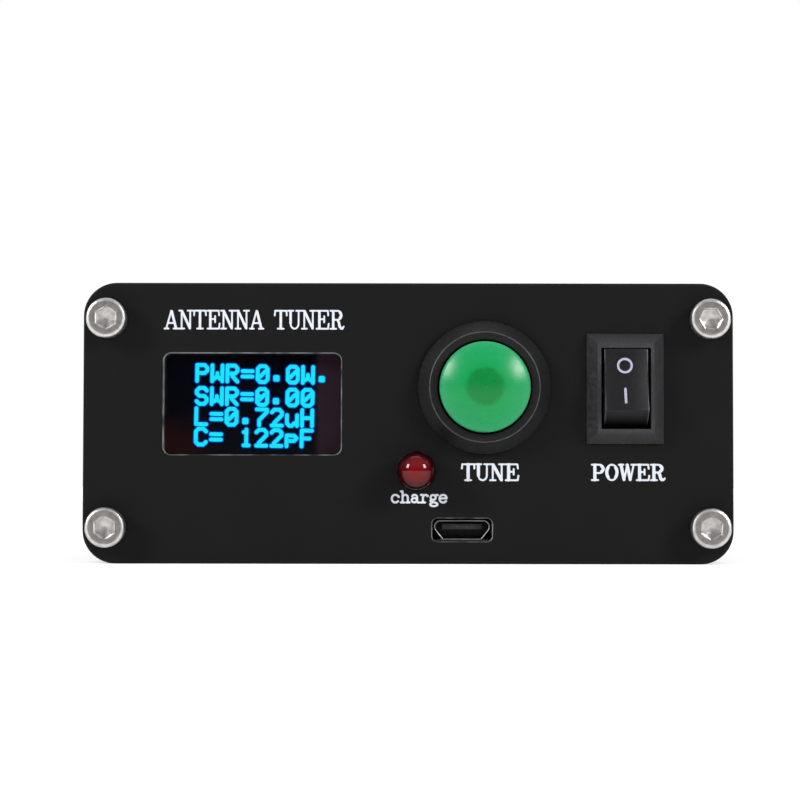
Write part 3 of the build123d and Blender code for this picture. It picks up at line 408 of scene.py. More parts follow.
def panel_material():
    """Anodised panel whose openings were milled after anodising, so their walls are bare metal."""
    tree, shader = new_material("panel_front")
    here = object_xyz(tree)
    normal = new_node(tree, "NewGeometry").outputs["True Normal"]
    facing = new_node(tree, "SeparateXYZ", Vector=normal).outputs
    mask = None
    for x, z, half_x, half_z in (
        (*WINDOW_MIDDLE, 13.0, 8.0),
        (lamp.x, lamp.z, 3.0, 3.0),
        (usb.x, usb.z, 4.8, 2.3),
    ):
        near_x = calc("LESS_THAN", away(here["X"], x), half_x * MM)
        near_z = calc("LESS_THAN", away(here["Z"], z), half_z * MM)
        near = calc("MULTIPLY", near_x, near_z)
        mask = near if mask is None else calc("MAXIMUM", mask, near)
    sideways = calc("LESS_THAN", calc("ABSOLUTE", facing["Y"]), 0.9)
    bare = calc("MULTIPLY", mask, sideways)
    black = ramp(noise(tree, 14.0, 4.0), (0.3, grey(0.0048)), (0.7, grey(0.0056)))
    metal = ramp(noise(tree, 3.0, 2.0), (0.4, grey(0.05)), (0.62, grey(0.27)))
    fine = noise(tree, 0.12, 2.0)
    feed(shader, Base_Color=mix_colour(bare, black, metal), Metallic=bare, Roughness=remap(fine, 0.48, 0.6))
    feed(shader, Specular_IOR_Level=0.07)
    bump(shader, fine, 0.006)


green_cap_material()
screw_material()
emitter("oled_lit", (0.012, 0.79, 1.0))
emitter("oled_halo", (0.001, 0.06, 0.42))
lamp_material()
glass_material()
panel_material()

look_of = {s["node"]: s["material_slot"] for s in frame["record"]["subparts"]}
look_of |= {"front_panel": "panel_front", "usb_socket_tongue": "tongue_black"}
for name, obj in nodes.items():
    obj.data.materials.clear()
    obj.data.materials.append(materials[look_of[name]])


# ---- mesh helpers
def show(name, mesh, material, body):
    """Puts a mesh in the scene, riding on a body."""
    mesh.materials.append(materials[material])
    obj = bpy.data.objects.new(name, mesh)
    bpy.context.scene.collection.objects.link(obj)
    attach(obj, body)
    return obj


def add_object(name, vertices, faces, material, body="case", angle=30.0):
    """A mesh object from vertices in millimetres, with doubles merged and faces turned outwards."""
    mesh = bpy.data.meshes.new(name)
    mesh.from_pydata([tuple(c * MM for c in v) for v in vertices], [], faces)
    merged = bmesh.new()
    merged.from_mesh(mesh)
    bmesh.ops.remove_doubles(merged, verts=merged.verts, dist=0.002 * MM)
    bmesh.ops.dissolve_degenerate(merged, edges=merged.edges, dist=0.001 * MM)
    bmesh.ops.recalc_face_normals(merged, faces=merged.faces)
    merged.to_mesh(mesh)
    merged.free()
    mesh.validate()
    mesh.shade_smooth()
    mesh.set_sharp_from_angle(angle=math.radians(angle))
    return show(name, mesh, material, body)


def rounded(points, steps):
    """An open profile of (x, y, radius) points as (x, y) points, its corners rounded by their radius."""
    out = [points[0][:2]]
    for before, corner, after in zip(points, points[1:], points[2:]):
        here = Vector(corner[:2])
        a, b = Vector(before[:2]) - here, Vector(after[:2]) - here
        if corner[2] == 0:
            out.append(corner[:2])
            continue
        reach = min(corner[2] / math.tan(a.angle(b) / 2), a.length * 0.45, b.length * 0.45)
        start, end = here + a.normalized() * reach, here + b.normalized() * reach
        for i in range(steps + 1):
            t = i / steps
            p = start * (1 - t) ** 2 + here * 2 * t * (1 - t) + end * t**2
            out.append((p.x, p.y))
    out.append(points[-1][:2])
    return out


def turned(profile, place, face, sign, count, shape):
    """Vertices and faces of a lathed shape about Y: profile holds (radius, distance out of the face).
    Shape gives the radius at a row and an angle, and how much further out the point lies."""
    vertices, faces, rings = [], [], []
    for row, (radius, out) in enumerate(profile):
        y = face + sign * out
        first = len(vertices)
        if radius == 0:
            vertices.append((place[0], y, place[1]))
            rings.append([first] * count)
            continue
        for i in range(count):
            angle = 2 * math.pi * i / count
            r, lift = shape(row, radius, angle) if shape else (radius, 0.0)
            vertices.append((place[0] + r * math.cos(angle), y + sign * lift, place[1] + r * math.sin(angle)))
        rings.append(range(first, first + count))
    for a, b in zip(rings, rings[1:]):
        for i in range(count):
            j = (i + 1) % count
            corners = tuple(dict.fromkeys((a[i], a[j], b[j], b[i])))
            if len(corners) > 2:
                faces.append(corners)
    return vertices, faces


def lathe(name, profile, place, material, body="case", face=FRONT, sign=-1, count=96, shape=None, angle=30.0):
    return add_object(name, *turned(profile, place, face, sign, count, shape), material, body, angle)


def join(parts):
    vertices, faces = [], []
    for v, f in parts:
        offset = len(vertices)
        vertices += v
        faces += [tuple(i + offset for i in face) for face in f]
    return vertices, faces


def skin(rings, closed=False):
    """Quads from each ring of points to the next: back to the first if closed, else with end faces."""
    count = len(rings[0])
    vertices = [point for ring in rings for point in ring]
    faces = []
    for row in range(len(rings) if closed else len(rings) - 1):
        here, there = row * count, (row + 1) % len(rings) * count
        for i in range(count):
            n = (i + 1) % count
            faces.append((here + i, here + n, there + n, there + i))
    if not closed:
        faces += [tuple(range(count)), tuple(range(len(vertices) - count, len(vertices)))]
    return vertices, faces


def shrink(points, distance):
    """The closed outline moved inwards by a distance, corner by corner."""
    out, count = [], len(points)
    for i, point in enumerate(points):
        before, here, after = Vector(points[i - 1]), Vector(point), Vector(points[(i + 1) % count])
        a, b = (here - before).normalized(), (after - here).normalized()
        inwards = Vector((a.y, -a.x)) + Vector((b.y, -b.x))
        out.append(tuple(here + inwards * (distance / max(inwards.length_squared / 2, 0.5))))
    return out


# ---- printed marks
STEP = 0.045


def arc(cx, cz, rx, rz, start, end, count=14):
    angles = [math.radians(start + (end - start) * i / count) for i in range(count + 1)]
    return [(cx + rx * math.cos(a), cz + rz * math.sin(a)) for a in angles]


def contour_loops(strokes):
    """Outline loops of the union of round-ended strokes, found on a grid of STEP."""
    xs = [p[0] for points, _ in strokes for p in points]
    zs = [p[1] for points, _ in strokes for p in points]
    pad = max(width for _, width in strokes) + 3 * STEP
    gx = np.arange(min(xs) - pad, max(xs) + pad, STEP)
    gz = np.arange(min(zs) - pad, max(zs) + pad, STEP)
    px, pz = np.meshgrid(gx, gz, indexing="ij")
    field = np.full(px.shape, 1e9)
    for points, width in strokes:
        for (ax, az), (bx, bz) in zip(points, points[1:]):
            dx, dz = bx - ax, bz - az
            length = dx * dx + dz * dz
            t = np.clip(((px - ax) * dx + (pz - az) * dz) / length, 0, 1) if length else 0.0
            distance = np.hypot(px - ax - t * dx, pz - az - t * dz) - width / 2
            field = np.minimum(field, distance)
    inside = field < 0
    points, index, steps = [], {}, {}

    def crossing(i, j, along):
        """Number of the point where the outline crosses a grid edge, made when first met."""
        key = (i, j, along)
        if key not in index:
            i2, j2 = (i + 1, j) if along == 0 else (i, j + 1)
            a, b = field[i, j], field[i2, j2]
            t = a / (a - b)
            index[key] = len(points)
            points.append((gx[i] + t * (gx[i2] - gx[i]), gz[j] + t * (gz[j2] - gz[j])))
        return index[key]

    filled = inside[:-1, :-1].astype(int) + inside[1:, :-1] + inside[:-1, 1:] + inside[1:, 1:]
    for i, j in np.argwhere((filled > 0) & (filled < 4)):
        corners = [(i, j), (i + 1, j), (i + 1, j + 1), (i, j + 1)]
        sides = [(i, j, 0), (i + 1, j, 1), (i, j + 1, 0), (i, j, 1)]
        entries, exits = [], []
        for k in range(4):
            here, there = inside[corners[k]], inside[corners[(k + 1) % 4]]
            if here and not there:
                exits.append(k)
            if there and not here:
                entries.append(k)
        for k in exits:
            partner = min(entries, key=lambda e: (e - k) % 4)
            entries.remove(partner)
            steps[crossing(*sides[k])] = crossing(*sides[partner])
    loops = []
    while steps:
        start, here = next(iter(steps.items()))
        loop = [start]
        del steps[start]
        while here != start:
            loop.append(here)
            here = steps.pop(here)
        loops.append([points[p] for p in loop])
    return loops


def simplify(loop, tolerance=0.004):
    """Drops points that lie almost on the line between their neighbours."""
    kept, count = [], len(loop)
    last = Vector(loop[-1])
    for i, point in enumerate(loop):
        here, after = Vector(point), Vector(loop[(i + 1) % count])
        line = after - last
        off = abs(line.x * (here - last).y - line.y * (here - last).x) / max(line.length, 1e-9)
        if off > tolerance or (here - last).length > 0.5:
            kept.append(point)
            last = here
    return kept if len(kept) >= 3 else loop


def printed(name, strokes, to_space, material, body="case", thickness=0.03):
    """A printed mark as a thin raised film. to_space(x, z, out) gives the place in millimetres."""
    film = bmesh.new()
    edges = []
    for loop in contour_loops(strokes):
        ring = [film.verts.new((x, z, 0)) for x, z in simplify(loop)]
        edges += [film.edges.new((ring[i - 1], ring[i])) for i in range(len(ring))]
    bmesh.ops.triangle_fill(film, use_beauty=True, use_dissolve=False, edges=edges)
    grown = bmesh.ops.extrude_face_region(film, geom=film.faces[:])
    for v in [g for g in grown["geom"] if isinstance(g, bmesh.types.BMVert)]:
        v.co.z = thickness
    for v in film.verts:
        v.co = Vector(to_space(*v.co)) * MM
    bmesh.ops.recalc_face_normals(film, faces=film.faces[:])
    mesh = bpy.data.meshes.new(name)
    film.to_mesh(mesh)
    film.free()
    return show(name, mesh, material, body)


def thin(*points):
    return False, points


def thick(*points):
    return True, points


def bar(left, right, z):
    return thin((left, z), (right, z))


STEM = thick((0.22, 0.02), (0.22, 0.98))

# a letter's advance, then its strokes, on a cap height or an x-height of one
GLYPHS = {
    "A": (
        0.90,
        thin((0.13, 0), (0.43, 0.99)),
        thick((0.46, 0.96), (0.73, 0.02)),
        bar(0.22, 0.64, 0.31),
        bar(0.02, 0.27, 0),
        bar(0.58, 0.87, 0),
    ),
    "T": (
        0.84,
        thin((0.05, 0.74), (0.07, 1), (0.77, 1), (0.79, 0.74)),
        thick((0.42, 0.98), (0.42, 0.02)),
        bar(0.24, 0.60, 0),
    ),
    "U": (
        0.86,
        thick((0.19, 0.98), (0.19, 0.30)),
        thin((0.19, 0.34), *arc(0.44, 0.30, 0.25, 0.30, 180, 360), (0.69, 1)),
        bar(0.03, 0.36, 1),
        bar(0.54, 0.84, 1),
    ),
    "N": (
        0.90,
        thin((0.18, 0), (0.18, 1)),
        thick((0.20, 0.97), (0.69, 0.03)),
        thin((0.71, 0), (0.71, 1)),
        bar(0.03, 0.22, 1),
        bar(0.03, 0.34, 0),
        bar(0.55, 0.87, 1),
    ),
    "E": (
        0.86,
        STEM,
        thin((0.05, 1), (0.74, 1), (0.77, 0.74)),
        bar(0.22, 0.50, 0.53),
        thin((0.52, 0.36), (0.52, 0.70)),
        thin((0.05, 0), (0.76, 0), (0.80, 0.28)),
    ),
    "P": (
        0.82,
        STEM,
        thin((0.04, 1), (0.50, 1), *arc(0.50, 0.73, 0.25, 0.27, 90, -90), (0.22, 0.46)),
        thick(*arc(0.48, 0.73, 0.24, 0.22, 50, -50)),
        bar(0.04, 0.42, 0),
    ),
    "O": (
        0.84,
        thin(*arc(0.42, 0.5, 0.34, 0.5, 0, 360, 36)),
        thick(*arc(0.44, 0.5, 0.33, 0.46, 138, 222)),
        thick(*arc(0.40, 0.5, 0.33, 0.46, -42, 42)),
    ),
    "W": (
        1.02,
        thick((0.13, 0.98), (0.31, 0.04)),
        thin((0.32, 0), (0.50, 0.98)),
        thick((0.50, 0.98), (0.68, 0.04)),
        thin((0.69, 0), (0.89, 1)),
        bar(0.00, 0.27, 1),
        bar(0.76, 1.00, 1),
    ),
    "R": (
        0.92,
        STEM,
        thin((0.04, 1), (0.50, 1), *arc(0.50, 0.75, 0.24, 0.25, 90, -90), (0.22, 0.50)),
        thick(*arc(0.48, 0.75, 0.23, 0.2, 50, -50)),
        bar(0.04, 0.40, 0),
        thick((0.50, 0.48), (0.58, 0.34), (0.62, 0.12), (0.70, 0.03)),
        thin((0.70, 0.0), (0.80, 0.0), (0.87, 0.12)),
    ),
    "c": (
        0.98,
        thin(*arc(0.47, 0.5, 0.38, 0.5, 38, 318, 20)),
        thick((0.79, 0.76), (0.80, 0.74)),
    ),
    "h": (
        1.06,
        thin((0.06, 1.45), (0.24, 1.45), (0.24, 0)),
        thin((0.24, 0.62), *arc(0.52, 0.66, 0.27, 0.34, 160, 0), (0.79, 0)),
        bar(0.06, 0.42, 0),
        bar(0.62, 0.98, 0),
    ),
    "a": (
        1.02,
        thin(*arc(0.40, 0.30, 0.27, 0.28, 0, 360, 20)),
        thin((0.18, 0.82), *arc(0.43, 0.68, 0.27, 0.32, 130, 0), (0.70, 0.12), (0.78, 0.0), (0.94, 0.0)),
    ),
    "r": (
        0.92,
        thin((0.08, 1), (0.28, 1), (0.28, 0)),
        thin((0.28, 0.55), *arc(0.58, 0.62, 0.28, 0.38, 165, 60)),
        thick((0.74, 0.88), (0.76, 0.86)),
        bar(0.08, 0.52, 0),
    ),
    "g": (
        1.00,
        thin(*arc(0.43, 0.66, 0.27, 0.32, 0, 360, 20)),
        thin((0.66, 0.86), (0.80, 1.0), (0.92, 0.96)),
        thin((0.26, 0.42), (0.14, 0.24), (0.22, 0.08), (0.62, 0.02)),
        thin((0.62, 0.02), *arc(0.50, -0.24, 0.38, 0.24, 68, -248, 20)),
    ),
    "e": (
        0.94,
        thin((0.10, 0.54), (0.83, 0.54), *arc(0.47, 0.5, 0.38, 0.5, 8, 322, 22)),
    ),
    " ": (0.62,),
}


def lettering(text, centre_x, base_z, height, width, thin_width, thick_width):
    """Strokes of a word, fitted to a width between outer edges, standing on base_z."""
    strokes, cursor = [], 0.0
    for letter in text:
        advance, *shapes = GLYPHS[letter]
        for heavy, points in shapes:
            strokes.append(([(cursor + x, z) for x, z in points], thick_width if heavy else thin_width))
        cursor += advance
    xs = [x for points, _ in strokes for x, _ in points]
    middle_x = (min(xs) + max(xs)) / 2
    scale_x = (width - thin_width) / (max(xs) - min(xs))
    scale_z = height - thin_width
    foot = base_z + thin_width / 2
    return [
        ([(centre_x + (x - middle_x) * scale_x, foot + z * scale_z) for x, z in points], stroke)
        for points, stroke in strokes
    ]


def on_panel(x, z, out):
    return (x, FRONT - out, z)


# name, then text, middle, foot, height, width, and the widths of thin and thick strokes
for name, *word in (
    ("legend_title", "ANTENNA TUNER", -20.9, 31.67, 2.66, 24.5, 0.23, 0.34),
    ("legend_tune", "TUNE", 11.08, 11.2, 2.4, 7.88, 0.25, 0.43),
    ("legend_power", "POWER", 29.75, 11.24, 2.33, 10.1, 0.25, 0.42),
    ("legend_charge", "charge", 1.5, 8.17, 1.30, 7.7, 0.27, 0.34),
):
    printed(name, lettering(*word), on_panel, "print_white")

# ---- display readout
# each letter's five columns, the lowest bit at the top
FONT = {
    "P": (0x7F, 0x09, 0x09, 0x09, 0x06),
    "W": (0x7F, 0x20, 0x18, 0x20, 0x7F),
    "R": (0x7F, 0x09, 0x19, 0x29, 0x46),
    "=": (0x14, 0x14, 0x14, 0x14, 0x14),
    "0": (0x3E, 0x51, 0x49, 0x45, 0x3E),
    ".": (0x00, 0x30, 0x30, 0x00, 0x00),
    "S": (0x26, 0x49, 0x49, 0x49, 0x32),
    "L": (0x7F, 0x40, 0x40, 0x40, 0x40),
    "7": (0x01, 0x71, 0x09, 0x05, 0x03),
    "2": (0x42, 0x61, 0x51, 0x49, 0x46),
    "u": (0x3C, 0x40, 0x40, 0x20, 0x7C),
    "H": (0x7F, 0x08, 0x08, 0x08, 0x7F),
    "C": (0x3E, 0x41, 0x41, 0x41, 0x22),
    "1": (0x00, 0x42, 0x7F, 0x40, 0x00),
    "p": (0x7C, 0x14, 0x14, 0x14, 0x08),
    "F": (0x7F, 0x09, 0x09, 0x09, 0x01),
    " ": (0x00, 0x00, 0x00, 0x00, 0x00),
}
# each line and how many dots down it starts
READOUT = (("PWR=0.0W.", 0.0), ("SWR=0.00", 17.3), ("L=0.72uH", 32.7), ("C= 122pF", 48.1))
DOT_X, DOT_Z, LIT, HALO = 0.1715, 0.180, 0.53, 0.8
TEXT_LEFT, TEXT_TOP, TEXT_TILT = -28.9, 27.12, math.radians(-0.95)


def readout_strokes(width):
    """Lit cells of the dot-matrix display. Each cell is two dots wide and high and glows into the next."""
    turn = Matrix.Rotation(TEXT_TILT, 2)
    strokes = []
    for text, top in READOUT:
        for number, letter in enumerate(text):
            cells = [(column, row) for column in range(5) for row in range(7)]
            lit = [(column, row) for column, row in cells if FONT[letter][column] >> row & 1]
            for column, row in lit:
                steps = [s for s in ((1, 0), (0, 1)) if (column + s[0], row + s[1]) in lit]
                for side in (1, -1):
                    corner_only = (column + side, row) not in lit and (column, row + 1) not in lit
                    if (column + side, row + 1) in lit and corner_only:
                        steps.append((side, 1))
                for dx, dz in steps or [(0, 0)]:
                    ends = []
                    for c, r in ((column, row), (column + dx, row + dz)):
                        x = (number * 12 + c * 2 + 1) * DOT_X
                        p = turn @ Vector((x, -(top + r * 2 + 1) * DOT_Z))
                        ends.append((TEXT_LEFT + p.x, TEXT_TOP + p.y))
                    strokes.append((ends, width))
    return strokes


def on_glass(x, z, out):
    return (x, glass_low.y - out, z)


printed("display_halo", readout_strokes(HALO), on_glass, "oled_halo", thickness=0.008)
printed("display_readout", readout_strokes(LIT), on_glass, "oled_lit", thickness=0.02)

# ---- socket head screws
# radius, distance out of the panel and form of each row, from the thread's tip to the socket's floor
SCREW = (
    (0.0, -10.0, "round"),
    (1.2, -10.0, "round"),
    (1.45, -9.6, "round"),
    (1.45, 0.0, "round"),
    (2.45, 0.0, "round"),
    (HEAD_R, 0.25, "knurled"),
    (2.72, 2.45, "knurled"),
    (2.69, 2.68, "round"),
    (2.56, 2.87, "round"),
    (2.36, 2.965, "round"),
    (2.24, 2.985, "round"),
    (1.85, 2.975, "round"),
    (1.46, 2.975, "hexagon"),
    (1.27, 2.86, "hexagon"),
    (1.25, 1.9, "hexagon"),
    (1.18, 1.86, "round"),
    (0.45, 1.8, "round"),
    (0.0, 1.66, "round"),
)
KNURLS, KNURL_DEPTH = 42, 0.08


def hexagon(angle, turn):
    """Distance from the centre to a hexagon's side, for a unit inner radius."""
    part = math.fmod(angle - turn + 4 * math.pi, math.pi / 3) - math.pi / 6
    return 1.0 / math.cos(part)


def cap_screw(place, face, sign, turn):
    def shape(row, radius, angle):
        if SCREW[row][2] == "knurled":
            radius -= KNURL_DEPTH * (0.5 + 0.5 * math.cos(angle * KNURLS))
        if SCREW[row][2] == "hexagon":
            radius *= hexagon(angle, turn)
        return radius, 0.0

    return turned([row[:2] for row in SCREW], place, face, sign, 4 * KNURLS, shape)


def panel_screws(name, face, sign, turns):
    """The four screws of a panel, each with its socket turned by its own angle in degrees."""
    low, high = box_mm(name)
    parts = []
    for (right, top), turn in turns.items():
        x = high.x - HEAD_R if right else low.x + HEAD_R
        z = high.z - HEAD_R if top else low.z + HEAD_R
        parts.append(cap_screw((x, z), face, sign, math.radians(turn)))
    piece = add_object(name + "_detail", *join(parts), "screw_steel", angle=28)
    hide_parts(name)


panel_screws("front_panel_screws", FRONT, -1, {(0, 0): 31, (0, 1): 29, (1, 0): 26, (1, 1): 1})
panel_screws("rear_panel_screws", REAR, 1, {(0, 0): 10, (0, 1): 52, (1, 0): 25, (1, 1): 38})


def groove(angle, count, depth, crest):
    """How deep an edge of count grooves is cut, when the crest is that share of a half pitch."""
    phase = abs(math.fmod(angle * count / (2 * math.pi), 1.0) - 0.5) * 2
    return depth * max(0.0, phase - crest) / (1 - crest)


# ---- push button
TEETH, TOOTH_DEPTH, RIM_R = 60, 0.07, 9.0
bezel_profile = rounded(
    [
        (5.6, -22.0, 0),
        (7.0, -22.0, 0.2),
        (7.0, -15.0, 0),
        (7.9, -15.0, 0.1),
        (7.9, 0.0, 0),
        (RIM_R, 0.0, 0.1),
        (RIM_R, 0.8, 0.12),
        (8.7, 1.15, 0.3),
        (7.54, 2.5, 0.1),
        (7.4, 2.6, 0.06),
        (6.38, 2.6, 0.1),
        (6.38, -2.6, 0.0),
        (1.62, -2.6, 0),
        (1.62, -5.0, 0),
        (5.6, -5.0, 0),
        (5.6, -22.0, 0),
    ],
    3,
)


def bezel_shape(row, radius, angle):
    if radius > RIM_R - 0.15:
        radius -= groove(angle, TEETH, TOOTH_DEPTH, 0.5)
    return radius, 0.0


button_place = (button.x, button.z)
piece = lathe("button_bezel", bezel_profile, button_place, "bezel_black", count=TEETH * 6, shape=bezel_shape)
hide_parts("tune_button_housing")

CAP_R, SKIRT_R, BOSS_R, STEM_HOLE_R = 6.12, 5.3, 2.7, 1.57
CAP_BACK, CAP_INSIDE = 0.8, 2.9
DOME_R, DOME_EDGE_OUT, DOME_EDGE_R, DOME_ROWS, GATE_MARK = 11.6, 3.8, 5.98, 24, 0.02
dome_centre = DOME_EDGE_OUT - math.sqrt(DOME_R**2 - DOME_EDGE_R**2)
dome_top = dome_centre + DOME_R
cap = [(0.0, dome_top + GATE_MARK), (0.09, dome_top + GATE_MARK), (0.13, dome_top)]
for i in range(1, DOME_ROWS + 1):
    r = (DOME_EDGE_R - 0.05) * i / DOME_ROWS
    cap.append((r, dome_centre + math.sqrt(DOME_R**2 - r * r)))
cap += [(CAP_R - 0.1, 3.74), (CAP_R - 0.03, 3.64), (CAP_R, 3.5), (CAP_R, CAP_BACK)]
cap += [(SKIRT_R, CAP_BACK), (SKIRT_R, CAP_INSIDE), (BOSS_R, CAP_INSIDE), (BOSS_R, CAP_BACK)]
cap += [(STEM_HOLE_R, CAP_BACK), (STEM_HOLE_R, CAP_INSIDE), (0.0, CAP_INSIDE)]
piece = lathe("button_cap", cap, button_place, "cap_green", "tune_button", count=128)
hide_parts("tune_button_cap")

# ---- charge lamp
lamp_low, lamp_high = box_mm("charge_lamp_lens")
LENS_R, FLANGE_R, DOME_HEIGHT = 2.5, 2.9, 2.3
lens_tip, lens_back = FRONT - lamp_low.y, FRONT - lamp_high.y
lens = [(0.0, lens_back), (FLANGE_R, lens_back), (FLANGE_R, lens_back + 1.0), (LENS_R, lens_back + 1.0)]
lens += arc(0.0, lens_tip - DOME_HEIGHT, LENS_R, DOME_HEIGHT, 0, 90, 24)[:-1]
lens.append((0.0, lens_tip))
piece = lathe("lamp_lens", lens, (lamp.x, lamp.z), "lamp_red")
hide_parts("charge_lamp_lens")

# ---- button spring
spring_low, spring_high = box_mm("tune_button_spring")
SPRING_WIRE, SPRING_R, SPRING_TURNS, PRESS = 0.2, 2.1, 3, 2.0


def coil(start_y, end_y, sides=10, steps=28):
    """Vertices and faces of the spring, a helix of round wire along Y with closed ends."""
    count = SPRING_TURNS * steps
    rise = end_y - start_y
    slope = math.atan2(rise / SPRING_TURNS, 2 * math.pi * SPRING_R)
    rings = []
    for i in range(count + 1):
        turn = 2 * math.pi * i / steps
        out = Vector((math.cos(turn), 0, math.sin(turn)))
        along = Vector((-math.sin(turn) * math.cos(slope), math.sin(slope), math.cos(turn) * math.cos(slope)))
        side = along.cross(out)
        centre = Vector((button.x, start_y + rise * i / count, button.z)) + out * SPRING_R
        angles = [2 * math.pi * k / sides for k in range(sides)]
        rings.append([centre + (out * math.cos(a) + side * math.sin(a)) * SPRING_WIRE for a in angles])
    return skin(rings)


spring_mesh = coil(spring_high.y - SPRING_WIRE, spring_low.y + SPRING_WIRE)
piece = add_object("button_spring_coil", *spring_mesh, "spring_wire")
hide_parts("tune_button_spring")
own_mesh(piece)

# ---- usb socket
USB_WALL, USB_DOWN = 0.17, 1.34
usb_low, usb_high = box_mm("usb_socket_shell")
usb_z = usb_low.z + USB_DOWN


def usb_outline(inset):
    """Mouth of the socket: long edge on top, slanting flanks below, round upper corners."""
    right = rounded(
        [
            (0.02, 1.33, 0),
            (3.25, 1.33, 0.55),
            (3.8, 0.78, 0.6),
            (3.78, 0.12, 0.6),
            (2.66, -USB_DOWN, 0.25),
            (0.02, -USB_DOWN, 0),
        ],
        5,
    )
    return shrink(right + [(-x, z) for x, z in reversed(right)], inset)


# inset and Y of each row: sheet metal formed into a tube, its front lip rounded over
USB_ROWS = (
    (USB_WALL, usb_high.y),
    (USB_WALL, usb_low.y + 0.08),
    (USB_WALL * 0.75, usb_low.y + 0.015),
    (USB_WALL * 0.5, usb_low.y),
    (USB_WALL * 0.25, usb_low.y + 0.015),
    (0.0, usb_low.y + 0.08),
    (0.0, usb_high.y),
)
usb_rings = [[(usb.x + x, y, usb_z + z) for x, z in usb_outline(inset)] for inset, y in USB_ROWS]
piece = add_object("usb_shell_formed", *skin(usb_rings, closed=True), "usb_steel", angle=50)
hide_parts("usb_socket_shell")

TICK_PITCH, TICK_WIDTH = 0.65, 0.34
tongue_front = box_mm("usb_socket_tongue")[0].y
ticks = []
for i in range(5):
    left = usb.x + (i - 2) * TICK_PITCH - TICK_WIDTH / 2
    right, low, high = left + TICK_WIDTH, usb_z + 0.32, usb_z + 0.48
    outline = [(left, low), (right, low), (right, high), (left, high)]
    ticks.append(skin([[(x, y, z) for x, z in outline] for y in (tongue_front - 0.04, tongue_front + 1.5)]))
piece = add_object("usb_socket_ticks", *join(ticks), "contact_dull")

# ---- coaxial sockets
barrel_low, barrel_high = box_mm("rf_socket_barrels")
THREAD_R, THREAD_PITCH, THREAD_DEPTH, THREAD_ROWS = 7.94, 1.058, 0.5, 84
BORE_R, RECESS_R, NOTCH_DEPTH, NOTCH_HALF_ANGLE = 5.6, 6.1, 1.3, 0.8 / 7.5
FLANGE_TOP = box_mm("rf_socket_flanges")[1].y - REAR
TUBE_TOP = barrel_high.y - REAR
RECESS_FLOOR = box_mm("rf_socket_contacts")[1].y - REAR - 0.3
socket_z = (barrel_low.z + barrel_high.z) / 2
socket_xs = (barrel_low.x + THREAD_R, barrel_high.x - THREAD_R)


def thread_cut(out, angle, pitch, depth):
    """How far a screw thread's flank lies below its crest."""
    phase = (out / pitch - angle / (2 * math.pi)) % 1.0
    rise = abs(2 * phase - 1)
    return depth * min(1.0, max(0.0, (rise - 0.12) / 0.7))


def socket_barrel(x):
    """A threaded barrel with four notches in its mouth, about the socket at x."""
    start, end = FLANGE_TOP + 1.0, TUBE_TOP
    rows = [(BORE_R, -6.0), (6.35, -6.0), (6.35, FLANGE_TOP), (7.2, FLANGE_TOP), (7.2, start)]
    first = len(rows)
    for i in range(THREAD_ROWS + 1):
        out = start + (end - start) * i / THREAD_ROWS
        rows.append((min(THREAD_R, 7.3 + (out - start) * 1.4, THREAD_R - 0.5 + (end - out)), out))
    last = len(rows)
    rows += [(6.3, end), (RECESS_R, end - 0.2), (RECESS_R, RECESS_FLOOR), (BORE_R, RECESS_FLOOR)]
    rows.append((BORE_R, -6.0))

    def shape(row, radius, angle):
        out = rows[row][1]
        if first <= row < last:
            fade = min(1.0, (out - start) / 0.6, (end - out) / 0.3)
            radius -= thread_cut(out, angle, THREAD_PITCH, THREAD_DEPTH) * max(0.0, fade)
        if out > end - NOTCH_DEPTH and radius > 6.0:
            notch = (angle + math.pi / 4) % (math.pi / 2)
            if min(notch, math.pi / 2 - notch) < NOTCH_HALF_ANGLE:
                return radius, end - NOTCH_DEPTH - out
        return radius, 0.0

    return turned(rows, (x, socket_z), REAR, 1, 216, shape)


barrels = join([socket_barrel(x) for x in socket_xs])
piece = add_object("rf_barrels_threaded", *barrels, "nickel_plate", angle=35)
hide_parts("rf_socket_barrels")

# ---- earth post
thumb_low, thumb_high = box_mm("earth_thumb_nut")
post = (0.0, (thumb_low.z + thumb_high.z) / 2)
THUMB_START, THUMB_END = thumb_low.y - REAR, thumb_high.y - REAR
THUMB_R, HUB_R, THUMB_BORE, GROOVES, GROOVE_DEPTH = 5.2, 3.4, 2.05, 32, 0.36
thumb_rows = rounded(
    [
        (THUMB_BORE, THUMB_START, 0),
        (HUB_R, THUMB_START, 0.15),
        (HUB_R, THUMB_START + 2.0, 0),
        (THUMB_R - 0.5, THUMB_START + 2.0, 0.1),
        (THUMB_R, THUMB_START + 2.45, 0.1),
        (THUMB_R, THUMB_END - 0.5, 0.1),
        (THUMB_R - 0.5, THUMB_END, 0.1),
        (HUB_R, THUMB_END, 0.1),
        (3.2, THUMB_END - 0.25, 0.1),
        (2.4, THUMB_END - 0.25, 0.1),
        (THUMB_BORE, THUMB_END - 0.6, 0),
        (THUMB_BORE, THUMB_START, 0),
    ],
    2,
)


def thumb_shape(row, radius, angle):
    if radius > THUMB_R - 0.35:
        radius -= groove(angle, GROOVES, GROOVE_DEPTH, 0.35)
    return radius, 0.0


piece = lathe("earth_knob", thumb_rows, post, "nickel_plate", "thumb_nut", REAR, 1, 256, thumb_shape, 35)
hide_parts("earth_thumb_nut")

